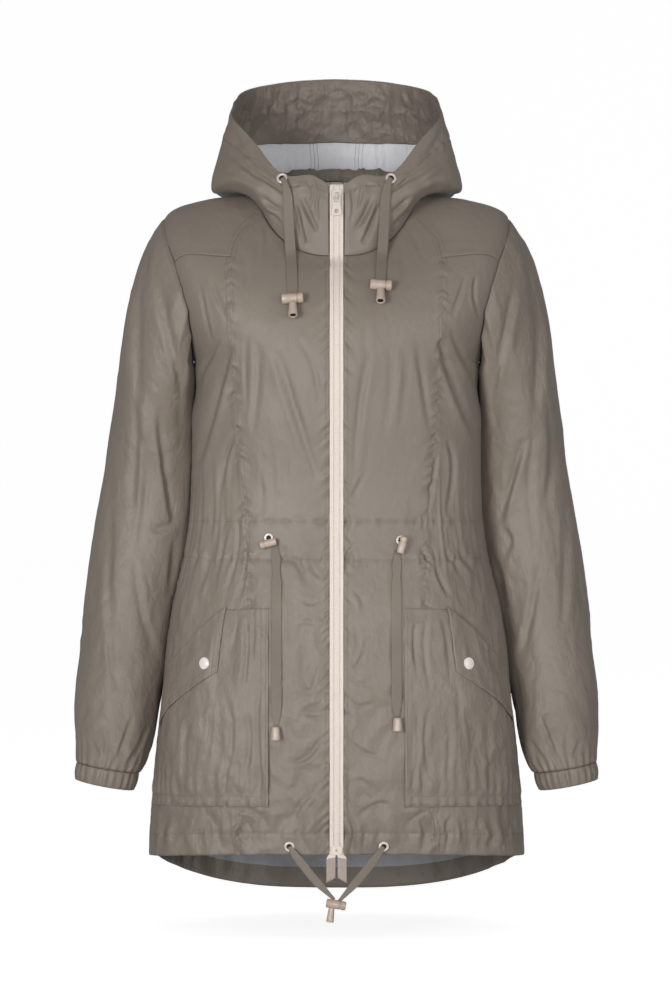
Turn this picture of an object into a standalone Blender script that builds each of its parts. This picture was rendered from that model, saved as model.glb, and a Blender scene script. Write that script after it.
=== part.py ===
"""A hooded rain parka, filled out and hollow, with nobody in it.

Each cloth piece is a thin wall on one of three forms: the torso, the sleeve and the hood.
Lengths are metres and +Z is up. The front faces -Y and the wearer's left is +X.
The origin is between the shoulders, where the wearer holds the garment up.
"""
import math

import bpy
import numpy as np

# Cloth and seams
WALL = 0.0014
PATCH_WALL = 0.0012
SEAM_GAP = 0.0003
LIE_GAP = 0.0003

# Torso form
PLAN_SWELL = 0.05
HEIGHT_BLEND = 3.0
ZIP_HALF = 0.0080
YOKE_NECK_ANGLE = math.radians(62)
YOKE_PRINCESS_LEVEL = -0.106

# Hood form
HOOD_COLUMNS = np.radians(
    (5.4, 10.0, 18.0, 27.0, 38.0, 49.0, 60.0, 72.0, 85.0, 97.0, 110.0, 127.0, 145.0, 163.0))
GUSSET_COLUMNS = np.radians((163.0, 171.5, 180.0, 188.5, 197.0))
HOOD_SHARES = np.array((0.0, 0.08, 0.18, 0.29, 0.40, 0.51, 0.62, 0.73, 0.84, 0.92, 1.0))
FACING_START = math.radians(70)
FACING_SHARES = np.array((0.84, 0.92, 0.998))
NECK_FACING_START = math.radians(126)
NECK_FACING_SHARES = np.array((0.08, 0.18))

# Gathers, counted as whole waves across a piece
SIDE_FRONT_WAVES = 8
BACK_WAVES = 14
CUFF_WAVES = 24
CUFF_WAVE_DEPTH = 0.0013
POCKET_WAVES = 10
POCKET_WAVE_DEPTH = 0.0030
POCKET_WAVE_REACH = 0.30
POCKET_PUFF = 0.0060

# Zip
TAPE_WALL = 0.0012
TAPE_TAIL = 0.031
SLIDER_HEIGHT = -0.008
SLIDER_SIZE = (0.0115, 0.0026, 0.0140)
BRIDGE_WIDTH = 0.0030
BRIDGE_REACH = 0.0046
BRIDGE_TALL = 0.0076
BRIDGE_BAR = 0.0013
BRIDGE_SINK = 0.0004
PULL_WIDTH = 0.0125
PULL_LENGTH = 0.0235
PULL_THICK = 0.0016
PULL_WINDOW = (0.0062, 0.0066)
PULL_EYE = 0.0024
PULL_EYE_RISE = 0.0053

# Trim
EYELET_RADIUS = {"hood": 0.0064, "waist": 0.0054, "hem": 0.0058}
EYELET_LIFT = {"hood": 0.0008, "waist": 0.0003, "hem": 0.0003}
EYELET_HOLE_SHARE = 0.46
EYELET_BEVEL_SHARE = 0.18
EYELET_THICK = 0.0012
SNAP_RADIUS = 0.0067
SNAP_THICK = 0.0022
SNAP_CLEAR = 0.0004
CORD_THICK = 0.0016
CORD_LIFT = 0.0015
CORD_WIDTH = {"hood": 0.0120, "waist": 0.0122, "hem": 0.0095}
LOCK_RADIUS = {"hood": 0.0058, "waist": 0.0043, "hem": 0.0050}
LOCK_LENGTH = {"hood": 0.0245, "waist": 0.0190, "hem": 0.0222}
LOCK_SEAT = 0.0015
END_RADIUS = {"hood": 0.0054, "waist": 0.0055, "hem": 0.0042}
END_LENGTH = {"hood": 0.0170, "waist": 0.0150, "hem": 0.0165}
TURN_SIDES = 12

# Colours, roughness and metal share of each material
FINISHES = {
    "shell": ((0.216, 0.181, 0.144), 0.62, 0.0),
    "facing": ((0.180, 0.150, 0.120), 0.66, 0.0),
    "zip_tape": ((0.730, 0.600, 0.510), 0.70, 0.0),
    "zip_metal": ((0.720, 0.590, 0.500), 0.35, 0.6),
    "eyelet_metal": ((0.640, 0.590, 0.570), 0.30, 0.9),
    "cord": ((0.150, 0.125, 0.100), 0.75, 0.0),
    "tan_plastic": ((0.530, 0.390, 0.255), 0.45, 0.0),
    "snap": ((0.760, 0.720, 0.680), 0.35, 0.0),
}


def table(columns, rows):
    """Turn rows into named columns."""
    return {name: np.array(values) for name, values in zip(columns, zip(*rows))}


# Rings of the torso from hem to neck. Heights are at centre front, side and centre back.
TORSO = table(
    ("front", "side", "back", "half_width", "front_depth", "back_depth"),
    (
        (-0.746, -0.7565, -0.8125, 0.2160, 0.128, 0.150),
        (-0.722, -0.730, -0.781, 0.2146, 0.131, 0.151),
        (-0.627, -0.627, -0.656, 0.2065, 0.136, 0.150),
        (-0.540, -0.540, -0.550, 0.1950, 0.136, 0.146),
        (-0.470, -0.470, -0.472, 0.1840, 0.131, 0.139),
        (-0.418, -0.416, -0.416, 0.1705, 0.123, 0.128),
        (-0.375, -0.375, -0.375, 0.1640, 0.119, 0.122),
        (-0.330, -0.330, -0.330, 0.1627, 0.121, 0.124),
        (-0.259, -0.258, -0.258, 0.1627, 0.130, 0.132),
        (-0.195, -0.190, -0.192, 0.1640, 0.133, 0.136),
        (-0.167, -0.130, -0.148, 0.1870, 0.131, 0.132),
        (-0.143, -0.076, -0.108, 0.2000, 0.126, 0.124),
        (-0.122, -0.0255, -0.064, 0.1965, 0.117, 0.110),
        (-0.099, -0.0055, -0.024, 0.1500, 0.102, 0.086),
        (-0.075, -0.001, 0.008, 0.0915, 0.080, 0.066),
    ),
)

# Levels, named by their height at centre front, that every torso panel is cut through
HEM, UNDERARM, SHOULDER_TIP, NECK = -0.746, -0.195, -0.122, -0.075
LOWER_LEVELS = np.array(
    (HEM, -0.722, -0.665, -0.600, -0.540, -0.485, -0.445, -0.418, -0.397, -0.375, -0.345, -0.290,
     -0.235, UNDERARM))

# Armhole edge: how far, in degrees, it opens from the side towards the front and the back
ARMHOLE = table(
    ("level", "spread"),
    ((UNDERARM, 0.0), (-0.191, 13.0), (-0.180, 26.0), (-0.163, 32.5), (-0.147, 32.5), (-0.135, 28.0),
     (-0.1285, 20.0), (-0.1242, 10.0), (SHOULDER_TIP, 0.0)),
)
YOKE_ARMHOLE_ROW = 5

# Princess seam: distance from the centre at each level
PRINCESS = table(
    ("level", "out"),
    ((HEM, 0.1105), (-0.470, 0.0990), (-0.435, 0.0995), (-0.375, 0.1020), (-0.317, 0.1065),
     (-0.261, 0.1125), (-0.150, 0.1190), (YOKE_PRINCESS_LEVEL, 0.1180)),
)

# Depth of the waist gathers at each level
WAIST_GATHER = table(
    ("level", "depth"),
    ((HEM, 0.0), (-0.500, 0.0), (-0.445, 0.0013), (-0.418, 0.0020), (-0.375, 0.0020), (-0.345, 0.0011),
     (-0.290, 0.0), (NECK, 0.0)),
)

# Sleeve sections below the armhole: centre, half sizes and tilt, outer side up
SLEEVE = table(
    ("x", "y", "z", "half_width", "half_depth", "tilt"),
    (
        (0.2118, 0.028, -0.272, 0.0503, 0.066, 14.0),
        (0.2162, 0.037, -0.330, 0.0547, 0.065, 11.0),
        (0.2227, 0.037, -0.385, 0.0575, 0.064, 10.0),
        (0.2349, 0.032, -0.447, 0.0545, 0.063, 9.0),
        (0.2410, 0.029, -0.485, 0.0521, 0.062, 8.0),
        (0.2468, 0.022, -0.535, 0.0507, 0.061, 8.0),
        (0.2529, 0.010, -0.584, 0.0490, 0.058, 8.0),
        (0.2556, -0.006, -0.621, 0.0455, 0.053, 9.0),
        (0.2582, -0.018, -0.643, 0.0407, 0.046, 10.0),
        (0.2610, -0.026, -0.655, 0.0365, 0.040, 10.0),
    ),
)
SLEEVE_CAP_ROWS = 5
CAP_PULL = 0.75

# Way the sleeve leaves the armhole: its lean outwards at the underarm, and what the tip adds
UNDERARM_LEAN = 0.12
TIP_LEAN = 0.70
TIP_LIFT = 0.30

CUFF_SECTIONS = table(
    ("x", "y", "z", "half_width", "half_depth", "tilt"),
    ((0.2611, -0.026, -0.6556, 0.0364, 0.0398, 10.0), (0.2630, -0.0265, -0.665, 0.0350, 0.0385, 10.5),
     (0.2650, -0.027, -0.675, 0.0345, 0.0380, 11.0)),
)

# Hood sections from the neck seam to the rim, each point as steps out from and up from the seam
HOOD_POINTS = ("seam", "stand", "fold", "belly", "upper", "rim")
HOOD = table(
    ("angle", "stand_out", "stand_up", "fold_out", "fold_up", "belly_out", "belly_up", "upper_out",
     "upper_up", "rim_out", "rim_up"),
    (
        (4.0, 0.001, 0.016, 0.003, 0.032, 0.004, 0.048, 0.003, 0.064, 0.000, 0.079),
        (16.0, 0.002, 0.018, 0.004, 0.036, 0.006, 0.054, 0.005, 0.072, 0.001, 0.089),
        (38.0, 0.004, 0.014, 0.008, 0.029, 0.011, 0.045, 0.009, 0.061, 0.003, 0.076),
        (60.0, 0.007, 0.012, 0.020, 0.025, 0.030, 0.040, 0.022, 0.058, 0.007, 0.0775),
        (85.0, 0.020, 0.004, 0.042, 0.005, 0.050, 0.015, 0.040, 0.052, 0.028, 0.089),
        (110.0, 0.018, 0.011, 0.047, 0.003, 0.057, 0.013, 0.047, 0.060, 0.033, 0.112),
        (145.0, 0.010, 0.022, 0.052, -0.012, 0.074, -0.004, 0.076, 0.055, 0.052, 0.132),
        (180.0, 0.008, 0.024, 0.054, -0.020, 0.082, -0.010, 0.086, 0.050, 0.060, 0.141),
        (215.0, 0.010, 0.022, 0.052, -0.012, 0.074, -0.004, 0.076, 0.055, 0.052, 0.132),
    ),
)

# Patch pocket: its top edge by angle, and its other edges
POCKET_TOP = table(
    ("angle", "level"), ((20.0, -0.471), (39.0, -0.473), (58.0, -0.523), (78.0, -0.560)))
POCKET_BOTTOM_LEVEL = -0.692
POCKET_INNER = 0.0755
POCKET_OUTER_ANGLE = math.radians(77)
POCKET_RISE = np.array((0.0, 0.055, 0.12, 0.30, 0.50, 0.70, 0.88, 1.0))

# Flap over the slanted pocket mouth
FLAP = table(
    ("angle", "top", "bottom"),
    ((39.5, -0.470, -0.5425), (48.0, -0.490, -0.560), (58.0, -0.515, -0.578), (68.0, -0.533, -0.597),
     (77.0, -0.545, -0.613)),
)
FLAP_RISE = np.array((0.0, 0.25, 0.5, 0.75, 1.0))
FLAP_COLUMNS = 10
FLAP_CLEAR = 0.0008
SNAP_SPOT = (0.1435, -0.534)

# Places of the eyelets: hood ones by angle and share of the section, others by x and z
HOOD_EYELET = (math.radians(37.5), 0.93)
WAIST_EYELET = {1: (0.0716, -0.3955), -1: (0.0757, -0.3930)}
HEM_EYELET = (0.0525, -0.7365)

# Cord locks at the waist lie on their eyelets: x, z and the lean of the barrel from level
WAIST_LOCK = {1: (0.0719, -0.4016, 75.0), -1: (0.0747, -0.3997, -15.0)}
HEM_LOCK = (-0.0005, -0.1318, -0.8005)
HEM_LOCK_LEAN = -10.0
HEM_END = (-0.0058, -0.1318, -0.8058)
HEM_END_AXIS = (-0.12, 0.0, -1.0)

# Cord routes on the wearer's left: place, and the way the tape faces in degrees from the front.
# The tape on the wearer's right follows the same route mirrored, with its own end points.
ROUTE_COLUMNS = ("x", "y", "z", "facing")
HOOD_ROUTE = (
    (0.0612, -0.0745, 0.0135, 15.0), (0.0580, -0.0785, 0.0050, 16.0), (0.0555, -0.0806, -0.0080, 16.0),
    (0.0545, -0.0812, -0.0250, 16.0), (0.0535, -0.0814, -0.0430, 13.0), (0.0525, -0.0816, -0.0600, 9.0),
    (0.0517, -0.0828, -0.0720, 5.0), (0.0507, -0.0898, -0.0830, 2.0), (0.0500, -0.0985, -0.0935, 2.0),
    (0.0494, -0.1099, -0.1098, 2.0),
)
WAIST_ROUTE = (
    (0.0680, -0.1171, -0.4122, 12.5), (0.0672, -0.1200, -0.4300, 12.0), (0.0670, -0.1254, -0.4600, 11.0),
    (0.0669, -0.1299, -0.5000, 10.5), (0.0669, -0.1328, -0.5500, 10.0), (0.0669, -0.1334, -0.5920, 9.0),
)
HEM_ROUTE = (
    (0.0525, -0.1297, -0.7365, 6.0), (0.0410, -0.1313, -0.7520, 4.0), (0.0250, -0.1318, -0.7720, 2.0),
)
ROUTES = {
    ("hood", 1): HOOD_ROUTE,
    ("hood", -1): HOOD_ROUTE + ((0.0488, -0.1188, -0.1248, 3.0),),
    ("waist", 1): WAIST_ROUTE,
    ("waist", -1): ((0.0686, -0.1159, -0.4045, 12.5),) + WAIST_ROUTE + ((0.0669, -0.1333, -0.6020, 9.0),),
    ("hem", 1): HEM_ROUTE + ((0.0072, -0.1318, -0.7937, 0.0),),
    ("hem", -1): HEM_ROUTE + ((0.0072, -0.1318, -0.7899, 0.0),),
}
ROUTE_STEPS = {"hood": 15, "waist": 13, "hem": 8}


def smooth_curve(at, knots, values):
    """Read a smooth curve that passes through the values at the knots."""
    at = np.asarray(at, dtype=float)
    slopes = np.gradient(values, knots)
    spot = np.clip(np.searchsorted(knots, at) - 1, 0, len(knots) - 2)
    span = knots[spot + 1] - knots[spot]
    share = (at - knots[spot]) / span
    square, cube = share ** 2, share ** 3
    start = (2 * cube - 3 * square + 1) * values[spot] + (cube - 2 * square + share) * span * slopes[spot]
    end = (3 * square - 2 * cube) * values[spot + 1] + (cube - square) * span * slopes[spot + 1]
    return start + end


def unit(vectors):
    """Scale vectors to length one."""
    return vectors / np.linalg.norm(vectors, axis=-1, keepdims=True)


def surface_normal(surface, first, second):
    """Work out a form's outward direction from small steps over it."""
    step = 1e-4
    along = surface(first + step, second) - surface(first - step, second)
    across = surface(first, second + step) - surface(first, second - step)
    return unit(np.cross(along, across))


def torso(angle, level):
    """Give the point of the torso at an angle from centre front, on the ring of a level."""
    angle, level = np.broadcast_arrays(np.asarray(angle, dtype=float), np.asarray(level, dtype=float))
    size = {name: smooth_curve(level, TORSO["front"], TORSO[name]) for name in TORSO}
    sine, cosine = np.sin(angle), np.cos(angle)
    swell = 1 + PLAN_SWELL * np.sin(2 * angle) ** 2
    depth = np.where(cosine > 0, size["front_depth"], size["back_depth"])
    middle = np.where(cosine > 0, level, size["back"])
    side_share = np.abs(sine) ** HEIGHT_BLEND
    height = middle * (1 - side_share) + size["side"] * side_share
    return np.stack((size["half_width"] * sine * swell, -depth * cosine * swell, height), axis=-1)


def angle_at(out, level):
    """Find the front angle at which a ring is a given distance out from the centre."""
    level = np.asarray(level, dtype=float)
    low = np.zeros_like(level)
    high = np.full_like(level, math.pi / 2)
    for _ in range(40):
        middle = (low + high) / 2
        short = torso(middle, level)[..., 0] < out
        low = np.where(short, middle, low)
        high = np.where(short, high, middle)
    return low


def front_spot(out, height):
    """Find the angle and level of the front point at a distance out and a height."""
    low, high = HEM, NECK
    for _ in range(40):
        level = (low + high) / 2
        if torso(angle_at(out, level), level)[2] < height:
            low = level
        else:
            high = level
    return float(angle_at(out, level)), level


def hood(angle, share):
    """Give the point of the hood at an angle round the neck, a share of the way up to the rim."""
    angle, share = np.broadcast_arrays(np.asarray(angle, dtype=float), np.asarray(share, dtype=float))
    knots = np.linspace(0, 1, len(HOOD_POINTS))
    degrees = 180 - np.abs(180 - np.degrees(angle))
    steps = {}
    for way in ("out", "up"):
        rows = [np.zeros_like(degrees)]
        for point in HOOD_POINTS[1:]:
            rows.append(smooth_curve(degrees, HOOD["angle"], HOOD[point + "_" + way]))
        steps[way] = curve_through(share, knots, np.stack(rows))
    seam = torso(angle, np.full_like(angle, NECK))
    outward = np.stack((np.sin(angle), -np.cos(angle), np.zeros_like(angle)), axis=-1)
    upward = np.array((0.0, 0.0, 1.0))
    return seam + outward * steps["out"][..., None] + upward * steps["up"][..., None]


def curve_through(share, knots, rows):
    """Read at each share the smooth curve through its own column of rows."""
    slopes = np.gradient(rows, knots, axis=0)
    spot = np.clip(np.searchsorted(knots, share) - 1, 0, len(knots) - 2)
    span = knots[1] - knots[0]
    local = (share - knots[spot]) / span
    square, cube = local ** 2, local ** 3

    def pick(values, index):
        return np.take_along_axis(values, index[None], axis=0)[0]

    start = (2 * cube - 3 * square + 1) * pick(rows, spot)
    start = start + (cube - 2 * square + local) * span * pick(slopes, spot)
    end = (3 * square - 2 * cube) * pick(rows, spot + 1)
    return start + end + (cube - square) * span * pick(slopes, spot + 1)


def material(name):
    """Make or fetch the plain material of a finish."""
    found = bpy.data.materials.get(name)
    if found:
        return found
    colour, roughness, metal = FINISHES[name]
    made = bpy.data.materials.new(name)
    made.use_nodes = True
    shader = made.node_tree.nodes["Principled BSDF"]
    shader.inputs["Base Color"].default_value = (*colour, 1.0)
    shader.inputs["Roughness"].default_value = roughness
    shader.inputs["Metallic"].default_value = metal
    return made


def add_object(name, points, faces, finish, smooth=True):
    """Add a closed body, with its faces turned outwards."""
    points = np.asarray(points, dtype=float)
    volume = 0.0
    for face in faces:
        for second, third in zip(face[1:], face[2:]):
            volume += np.dot(points[face[0]], np.cross(points[second], points[third]))
    if volume < 0:
        faces = [tuple(reversed(face)) for face in faces]
    mesh = bpy.data.meshes.new(name)
    mesh.from_pydata(points.tolist(), [], faces)
    mesh.materials.append(material(finish))
    if smooth:
        mesh.shade_smooth()
        mesh.set_sharp_from_angle(angle=math.radians(35))
    made = bpy.data.objects.new(name, mesh)
    bpy.context.collection.objects.link(made)
    made.parent = bpy.data.objects["parka"]
    return made


def add_wall(name, outer, inner, finish, side=1, closed=False, whole=False):
    """Add the wall between an outer and an inner grid of points, mirrored for side -1.

    A whole piece spans both sides of the garment, so the second half of its cells is split the other way.
    """
    rows, columns = outer.shape[:2]
    points = np.concatenate((outer.reshape(-1, 3), inner.reshape(-1, 3))) * (side, 1, 1)
    under = rows * columns

    def at(row, column):
        return row * columns + column % columns

    faces = []
    cells = columns if closed else columns - 1
    for row in range(rows - 1):
        for column in range(cells):
            a, b = at(row, column), at(row, column + 1)
            c, d = at(row + 1, column + 1), at(row + 1, column)
            halves = [(a, b, c), (a, c, d)]
            if whole and 2 * column >= cells:
                halves = [(a, b, d), (b, c, d)]
            faces += halves
            faces += [tuple(corner + under for corner in reversed(half)) for half in halves]
    for column in range(cells):
        a, b = at(0, column), at(0, column + 1)
        faces.append((b, a, a + under, b + under))
        a, b = at(rows - 1, column), at(rows - 1, column + 1)
        faces.append((a, b, b + under, a + under))
    if not closed:
        for row in range(rows - 1):
            a, d = at(row, 0), at(row + 1, 0)
            faces.append((a, d, d + under, a + under))
            a, d = at(row, columns - 1), at(row + 1, columns - 1)
            faces.append((d, a, a + under, d + under))
    return add_object(name, points, faces, finish)


def pull_in(points, distance):
    """Draw the edges of a grid of points in by a distance, to leave room for the seam."""
    points = points.copy()
    for edge, beside in ((0, 1), (-1, -2)):
        points[edge] += unit(points[beside] - points[edge]) * distance
        points[:, edge] += unit(points[:, beside] - points[:, edge]) * distance
    return points


def zigzag(columns, depths):
    """Give each grid point its gather: in and out by turns, none on the outer columns."""
    turns = np.where(np.arange(columns) % 2, 1.0, -1.0)
    turns[[0, -1]] = 0.0
    return depths[:, None] * turns[None, :]


def ruled(inner, outer, columns):
    """Rule rows of angle and level from an inner edge to an outer one."""
    share = np.linspace(0, 1, columns)[None, :, None]
    return inner[:, None, :] * (1 - share) + outer[:, None, :] * share


def pairs(angles, levels):
    """Join angles and levels into the points of an edge."""
    return np.stack(np.broadcast_arrays(angles, levels), axis=-1).astype(float)


def torso_panel(name, grid, side=1, gathers=None, whole=False, ease=SEAM_GAP / 2):
    """Add a torso panel from its grid of angles and levels, its edges drawn in by an ease."""
    outer = torso(grid[..., 0], grid[..., 1])
    normal = surface_normal(torso, grid[..., 0], grid[..., 1])
    if gathers is not None:
        outer = outer + normal * gathers[..., None]
    outer = pull_in(outer, ease)
    add_wall(name, outer, outer - normal * WALL, "shell", side, whole=whole)


def princess_edge(levels):
    """Give the princess seam's points at some levels."""
    out = np.interp(levels, PRINCESS["level"], PRINCESS["out"])
    angles = np.array([angle_at(reach, level) for reach, level in zip(out, levels)])
    return pairs(angles, levels)


def armhole_edge(way):
    """Give the armhole's points from underarm to shoulder tip: way -1 in front, 1 behind."""
    return pairs(math.pi / 2 + way * np.radians(ARMHOLE["spread"]), ARMHOLE["level"])


def princess_upper_levels():
    """Give the princess seam's levels beside the armhole rows, from underarm to yoke."""
    return np.linspace(UNDERARM, YOKE_PRINCESS_LEVEL, YOKE_ARMHOLE_ROW + 1)[1:]


def yoke_inner_edge(count):
    """Give the yoke seam's points from the top of the princess seam to the neck."""
    start = princess_edge(np.array([YOKE_PRINCESS_LEVEL]))[0]
    end = np.array((YOKE_NECK_ANGLE, NECK))
    share = np.linspace(0, 1, count)[:, None]
    return start * (1 - share) + end * share


def make_fronts():
    """Make the centre fronts, from the zip to the princess seam and the yoke."""
    climb = yoke_inner_edge(4)[1:]
    levels = np.concatenate((LOWER_LEVELS, princess_upper_levels()))
    zip_levels = np.concatenate((levels, np.linspace(YOKE_PRINCESS_LEVEL, NECK, 4)[1:]))
    inner = pairs(angle_at(ZIP_HALF, zip_levels), zip_levels)
    outer = np.concatenate((princess_edge(levels), climb))
    grid = ruled(inner, outer, 7)
    for side, name in ((1, "front_left"), (-1, "front_right")):
        torso_panel(name, grid, side)


def make_side_fronts():
    """Make the side fronts, gathered at the waist."""
    columns = 2 * SIDE_FRONT_WAVES + 1
    inner = princess_edge(np.concatenate((LOWER_LEVELS, princess_upper_levels())))
    seam = pairs(math.pi / 2, LOWER_LEVELS)
    outer = np.concatenate((seam, armhole_edge(-1)[1:YOKE_ARMHOLE_ROW + 1]))
    grid = ruled(inner, outer, columns)
    depths = np.interp(inner[:, 1], WAIST_GATHER["level"], WAIST_GATHER["depth"])
    gathers = zigzag(columns, depths)
    for side, name in ((1, "side_front_left"), (-1, "side_front_right")):
        torso_panel(name, grid, side, gathers)


def make_yokes():
    """Make the shoulder yokes, from the yoke seam up to the shoulder seam."""
    to_neck = yoke_inner_edge(4)
    from_armhole = ruled(armhole_edge(-1)[YOKE_ARMHOLE_ROW][None], to_neck[:1], 6)[0]
    seam = np.concatenate((from_armhole, to_neck[1:]))
    shoulder_levels = np.linspace(SHOULDER_TIP, NECK, len(seam))
    shoulder = pairs(math.pi / 2, shoulder_levels)
    armhole = armhole_edge(-1)[YOKE_ARMHOLE_ROW:][::-1]
    grid = ruled(shoulder, seam, len(armhole))
    grid[0] = armhole
    for side, name in ((1, "yoke_left"), (-1, "yoke_right")):
        torso_panel(name, grid, side, ease=SEAM_GAP)


def make_back():
    """Make the back in one piece, gathered at the waist, with its dropped hem."""
    columns = 2 * BACK_WAVES + 1
    shoulder_levels = np.linspace(SHOULDER_TIP, NECK, 4)[1:]
    edge = np.concatenate(
        (pairs(math.pi / 2, LOWER_LEVELS), armhole_edge(1)[1:], pairs(math.pi / 2, shoulder_levels)))
    far_edge = np.stack((2 * math.pi - edge[:, 0], edge[:, 1]), axis=-1)
    depths = np.interp(edge[:, 1], WAIST_GATHER["level"], WAIST_GATHER["depth"])
    torso_panel("back", ruled(edge, far_edge, columns), 1, zigzag(columns, depths), whole=True)


def seam_start(edge, normal, into_hole, heading):
    """Start a joined piece at a seam: its first points, and the direction its wall is measured in.

    The piece leaves the edge along heading. Where it folds outwards its wall turns with it, and
    where it folds inwards the wall stays square to the edge, so that the two never cross.
    """
    along = np.sum(heading * into_hole, axis=-1)
    away = np.sum(heading * normal, axis=-1)
    fold = np.clip(np.arctan2(away, along), 0, None)[:, None]
    first = edge + SEAM_GAP * (np.cos(fold / 2) * into_hole + np.sin(fold / 2) * normal)
    return first, np.cos(fold) * normal - np.sin(fold) * into_hole


def edge_frame(spots):
    """Give the points of a torso edge loop, its outward normals and its directions into the hole."""
    points = torso(spots[:, 0], spots[:, 1])
    normal = surface_normal(torso, spots[:, 0], spots[:, 1])
    tangent = unit(np.roll(points, -1, axis=0) - np.roll(points, 1, axis=0))
    into_hole = unit(np.cross(normal, tangent))
    toward_centre = points.mean(axis=0) - points
    flip = np.sign(np.sum(into_hole * toward_centre, axis=-1, keepdims=True))
    return points, normal, into_hole * flip


def section_ring(sections, row, turn):
    """Give a sleeve section's ring of points, from its outer side to the front."""
    tilt = math.radians(sections["tilt"][row])
    centre = np.array([sections[name][row] for name in ("x", "y", "z")])
    wide = sections["half_width"][row] * np.array((math.cos(tilt), 0.0, math.sin(tilt)))
    deep = sections["half_depth"][row] * np.array((0.0, -1.0, 0.0))
    return centre + np.cos(turn)[:, None] * wide + np.sin(turn)[:, None] * deep


def sleeve_grid():
    """Loft the sleeve from the armhole through its sections, with the wall directions."""
    front = armhole_edge(-1)[::-1]
    behind = armhole_edge(1)[1:-1]
    edge, normal, into_hole = edge_frame(np.concatenate((front, behind)))
    steps = np.linalg.norm(np.roll(edge, -1, axis=0) - edge, axis=-1)
    turn = 2 * math.pi * np.concatenate(((0.0,), np.cumsum(steps)[:-1])) / steps.sum()
    rings = [section_ring(SLEEVE, row, turn) for row in range(len(SLEEVE["x"]))]
    height = (edge[:, 2] - edge[:, 2].min()) / np.ptp(edge[:, 2])
    outward = UNDERARM_LEAN + TIP_LEAN * height
    upward = TIP_LIFT * height - 1
    heading = unit(np.stack((outward, np.zeros_like(height), upward), axis=-1))
    first, measured = seam_start(edge, normal, into_hole, heading)
    down = unit(rings[1] - rings[0])
    reach = CAP_PULL * np.linalg.norm(rings[0] - first, axis=-1)[:, None]
    cap = []
    for share in np.linspace(0, 1, SLEEVE_CAP_ROWS + 2)[:-1]:
        square, cube = share ** 2, share ** 3
        start = (2 * cube - 3 * square + 1) * first + (cube - 2 * square + share) * reach * heading
        end = (3 * square - 2 * cube) * rings[0] + (cube - square) * reach * down
        cap.append(start + end)
    grid = np.stack(cap + rings)
    around = np.roll(grid, -1, axis=1) - np.roll(grid, 1, axis=1)
    along = np.gradient(grid, axis=0)
    wall = unit(np.cross(along, around))
    centre = grid.mean(axis=1, keepdims=True)
    wall = wall * np.sign(np.sum(wall * (grid - centre)))
    wall[0] = measured
    return grid, wall, turn


def read_ring(at, turn, rows):
    """Read points between the rows of a ring."""
    return np.stack([np.interp(at, turn, rows[:, part]) for part in range(3)], axis=-1)


def make_sleeves_and_cuffs():
    """Make the sleeves and their elasticated cuff casings."""
    grid, wall, turn = sleeve_grid()
    grid[-1] += unit(grid[-2] - grid[-1]) * SEAM_GAP / 2
    fine_turn = np.linspace(0, 2 * math.pi, 2 * CUFF_WAVES, endpoint=False)
    rings = np.stack([section_ring(CUFF_SECTIONS, row, fine_turn) for row in range(3)])
    spokes = unit(rings - rings.mean(axis=1, keepdims=True))
    closed_turn = np.append(turn, 2 * math.pi)
    seam = np.concatenate((grid[-1], grid[-1][:1]))
    drop = unit(rings[-1].mean(axis=0) - rings[0].mean(axis=0))
    rings[0] = read_ring(fine_turn, closed_turn, seam) + drop * SEAM_GAP
    turns = np.where(np.arange(2 * CUFF_WAVES) % 2, 1.0, -1.0)
    for row in (1, 2):
        rings[row] += spokes[row] * (turns * CUFF_WAVE_DEPTH)[:, None]
    seam_wall = np.concatenate((wall[-1], wall[-1][:1]))
    spokes[0] = read_ring(fine_turn, closed_turn, seam_wall)
    for side, word in ((1, "left"), (-1, "right")):
        add_wall("sleeve_" + word, grid, grid - wall * WALL, "shell", side, closed=True)
        add_wall("cuff_" + word, rings, rings - spokes * WALL, "shell", side, closed=True)


def hood_wall(angles, shares):
    """Give a stretch of the hood's points and the directions that its wall is measured in."""
    grid_angle, grid_share = np.meshgrid(angles, shares)
    points = hood(grid_angle, grid_share)
    normal = surface_normal(hood, grid_angle, grid_share)
    return points, normal


def neck_tangent(angles):
    """Give the neck ring's direction, from the back towards centre front."""
    step = 1e-4
    return unit(torso(angles - step, NECK) - torso(angles + step, NECK))


def make_hood():
    """Make the three hood pieces, standing from the neck seam."""
    stretches = (
        ("hood_left", 1, HOOD_COLUMNS, False),
        ("hood_right", -1, HOOD_COLUMNS, False),
        ("hood_centre", 1, GUSSET_COLUMNS, True),
    )
    for name, side, angles, whole in stretches:
        points, normal = hood_wall(angles, HOOD_SHARES)
        edge = torso(angles, NECK)
        edge_normal = surface_normal(torso, angles, NECK)
        into_hole = unit(np.cross(edge_normal, neck_tangent(angles)))
        heading = unit(points[1] - points[0])
        points[0], normal[0] = seam_start(edge, edge_normal, into_hole, heading)
        for column, beside in ((0, 1), (-1, -2)):
            points[:, column] += unit(points[:, beside] - points[:, column]) * SEAM_GAP / 2
        add_wall(name, points, points - normal * WALL, "shell", side, whole=whole)


def make_hood_facings():
    """Make the brim facing and the back neck facing, which lie inside the hood."""
    half = np.concatenate((HOOD_COLUMNS[:-1], GUSSET_COLUMNS[:3]))
    stretches = (
        ("hood_facing", FACING_START, FACING_SHARES), ("neck_facing", NECK_FACING_START, NECK_FACING_SHARES),
    )
    for name, start, shares in stretches:
        one_side = half[half > start]
        angles = np.concatenate((one_side, 2 * math.pi - one_side[-2::-1]))
        points, normal = hood_wall(angles, shares)
        outer = points - normal * (WALL + LIE_GAP)
        add_wall(name, outer, outer - normal * PATCH_WALL, "facing", whole=True)


def lifted_patch(name, grid, lift, side):
    """Add a patch that lies on the torso, its points moved out by a lift over the lying gap."""
    points = torso(grid[..., 0], grid[..., 1])
    normal = surface_normal(torso, grid[..., 0], grid[..., 1])
    inner = points + normal * (LIE_GAP + lift)[..., None]
    add_wall(name, inner + normal * PATCH_WALL, inner, "shell", side)


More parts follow.
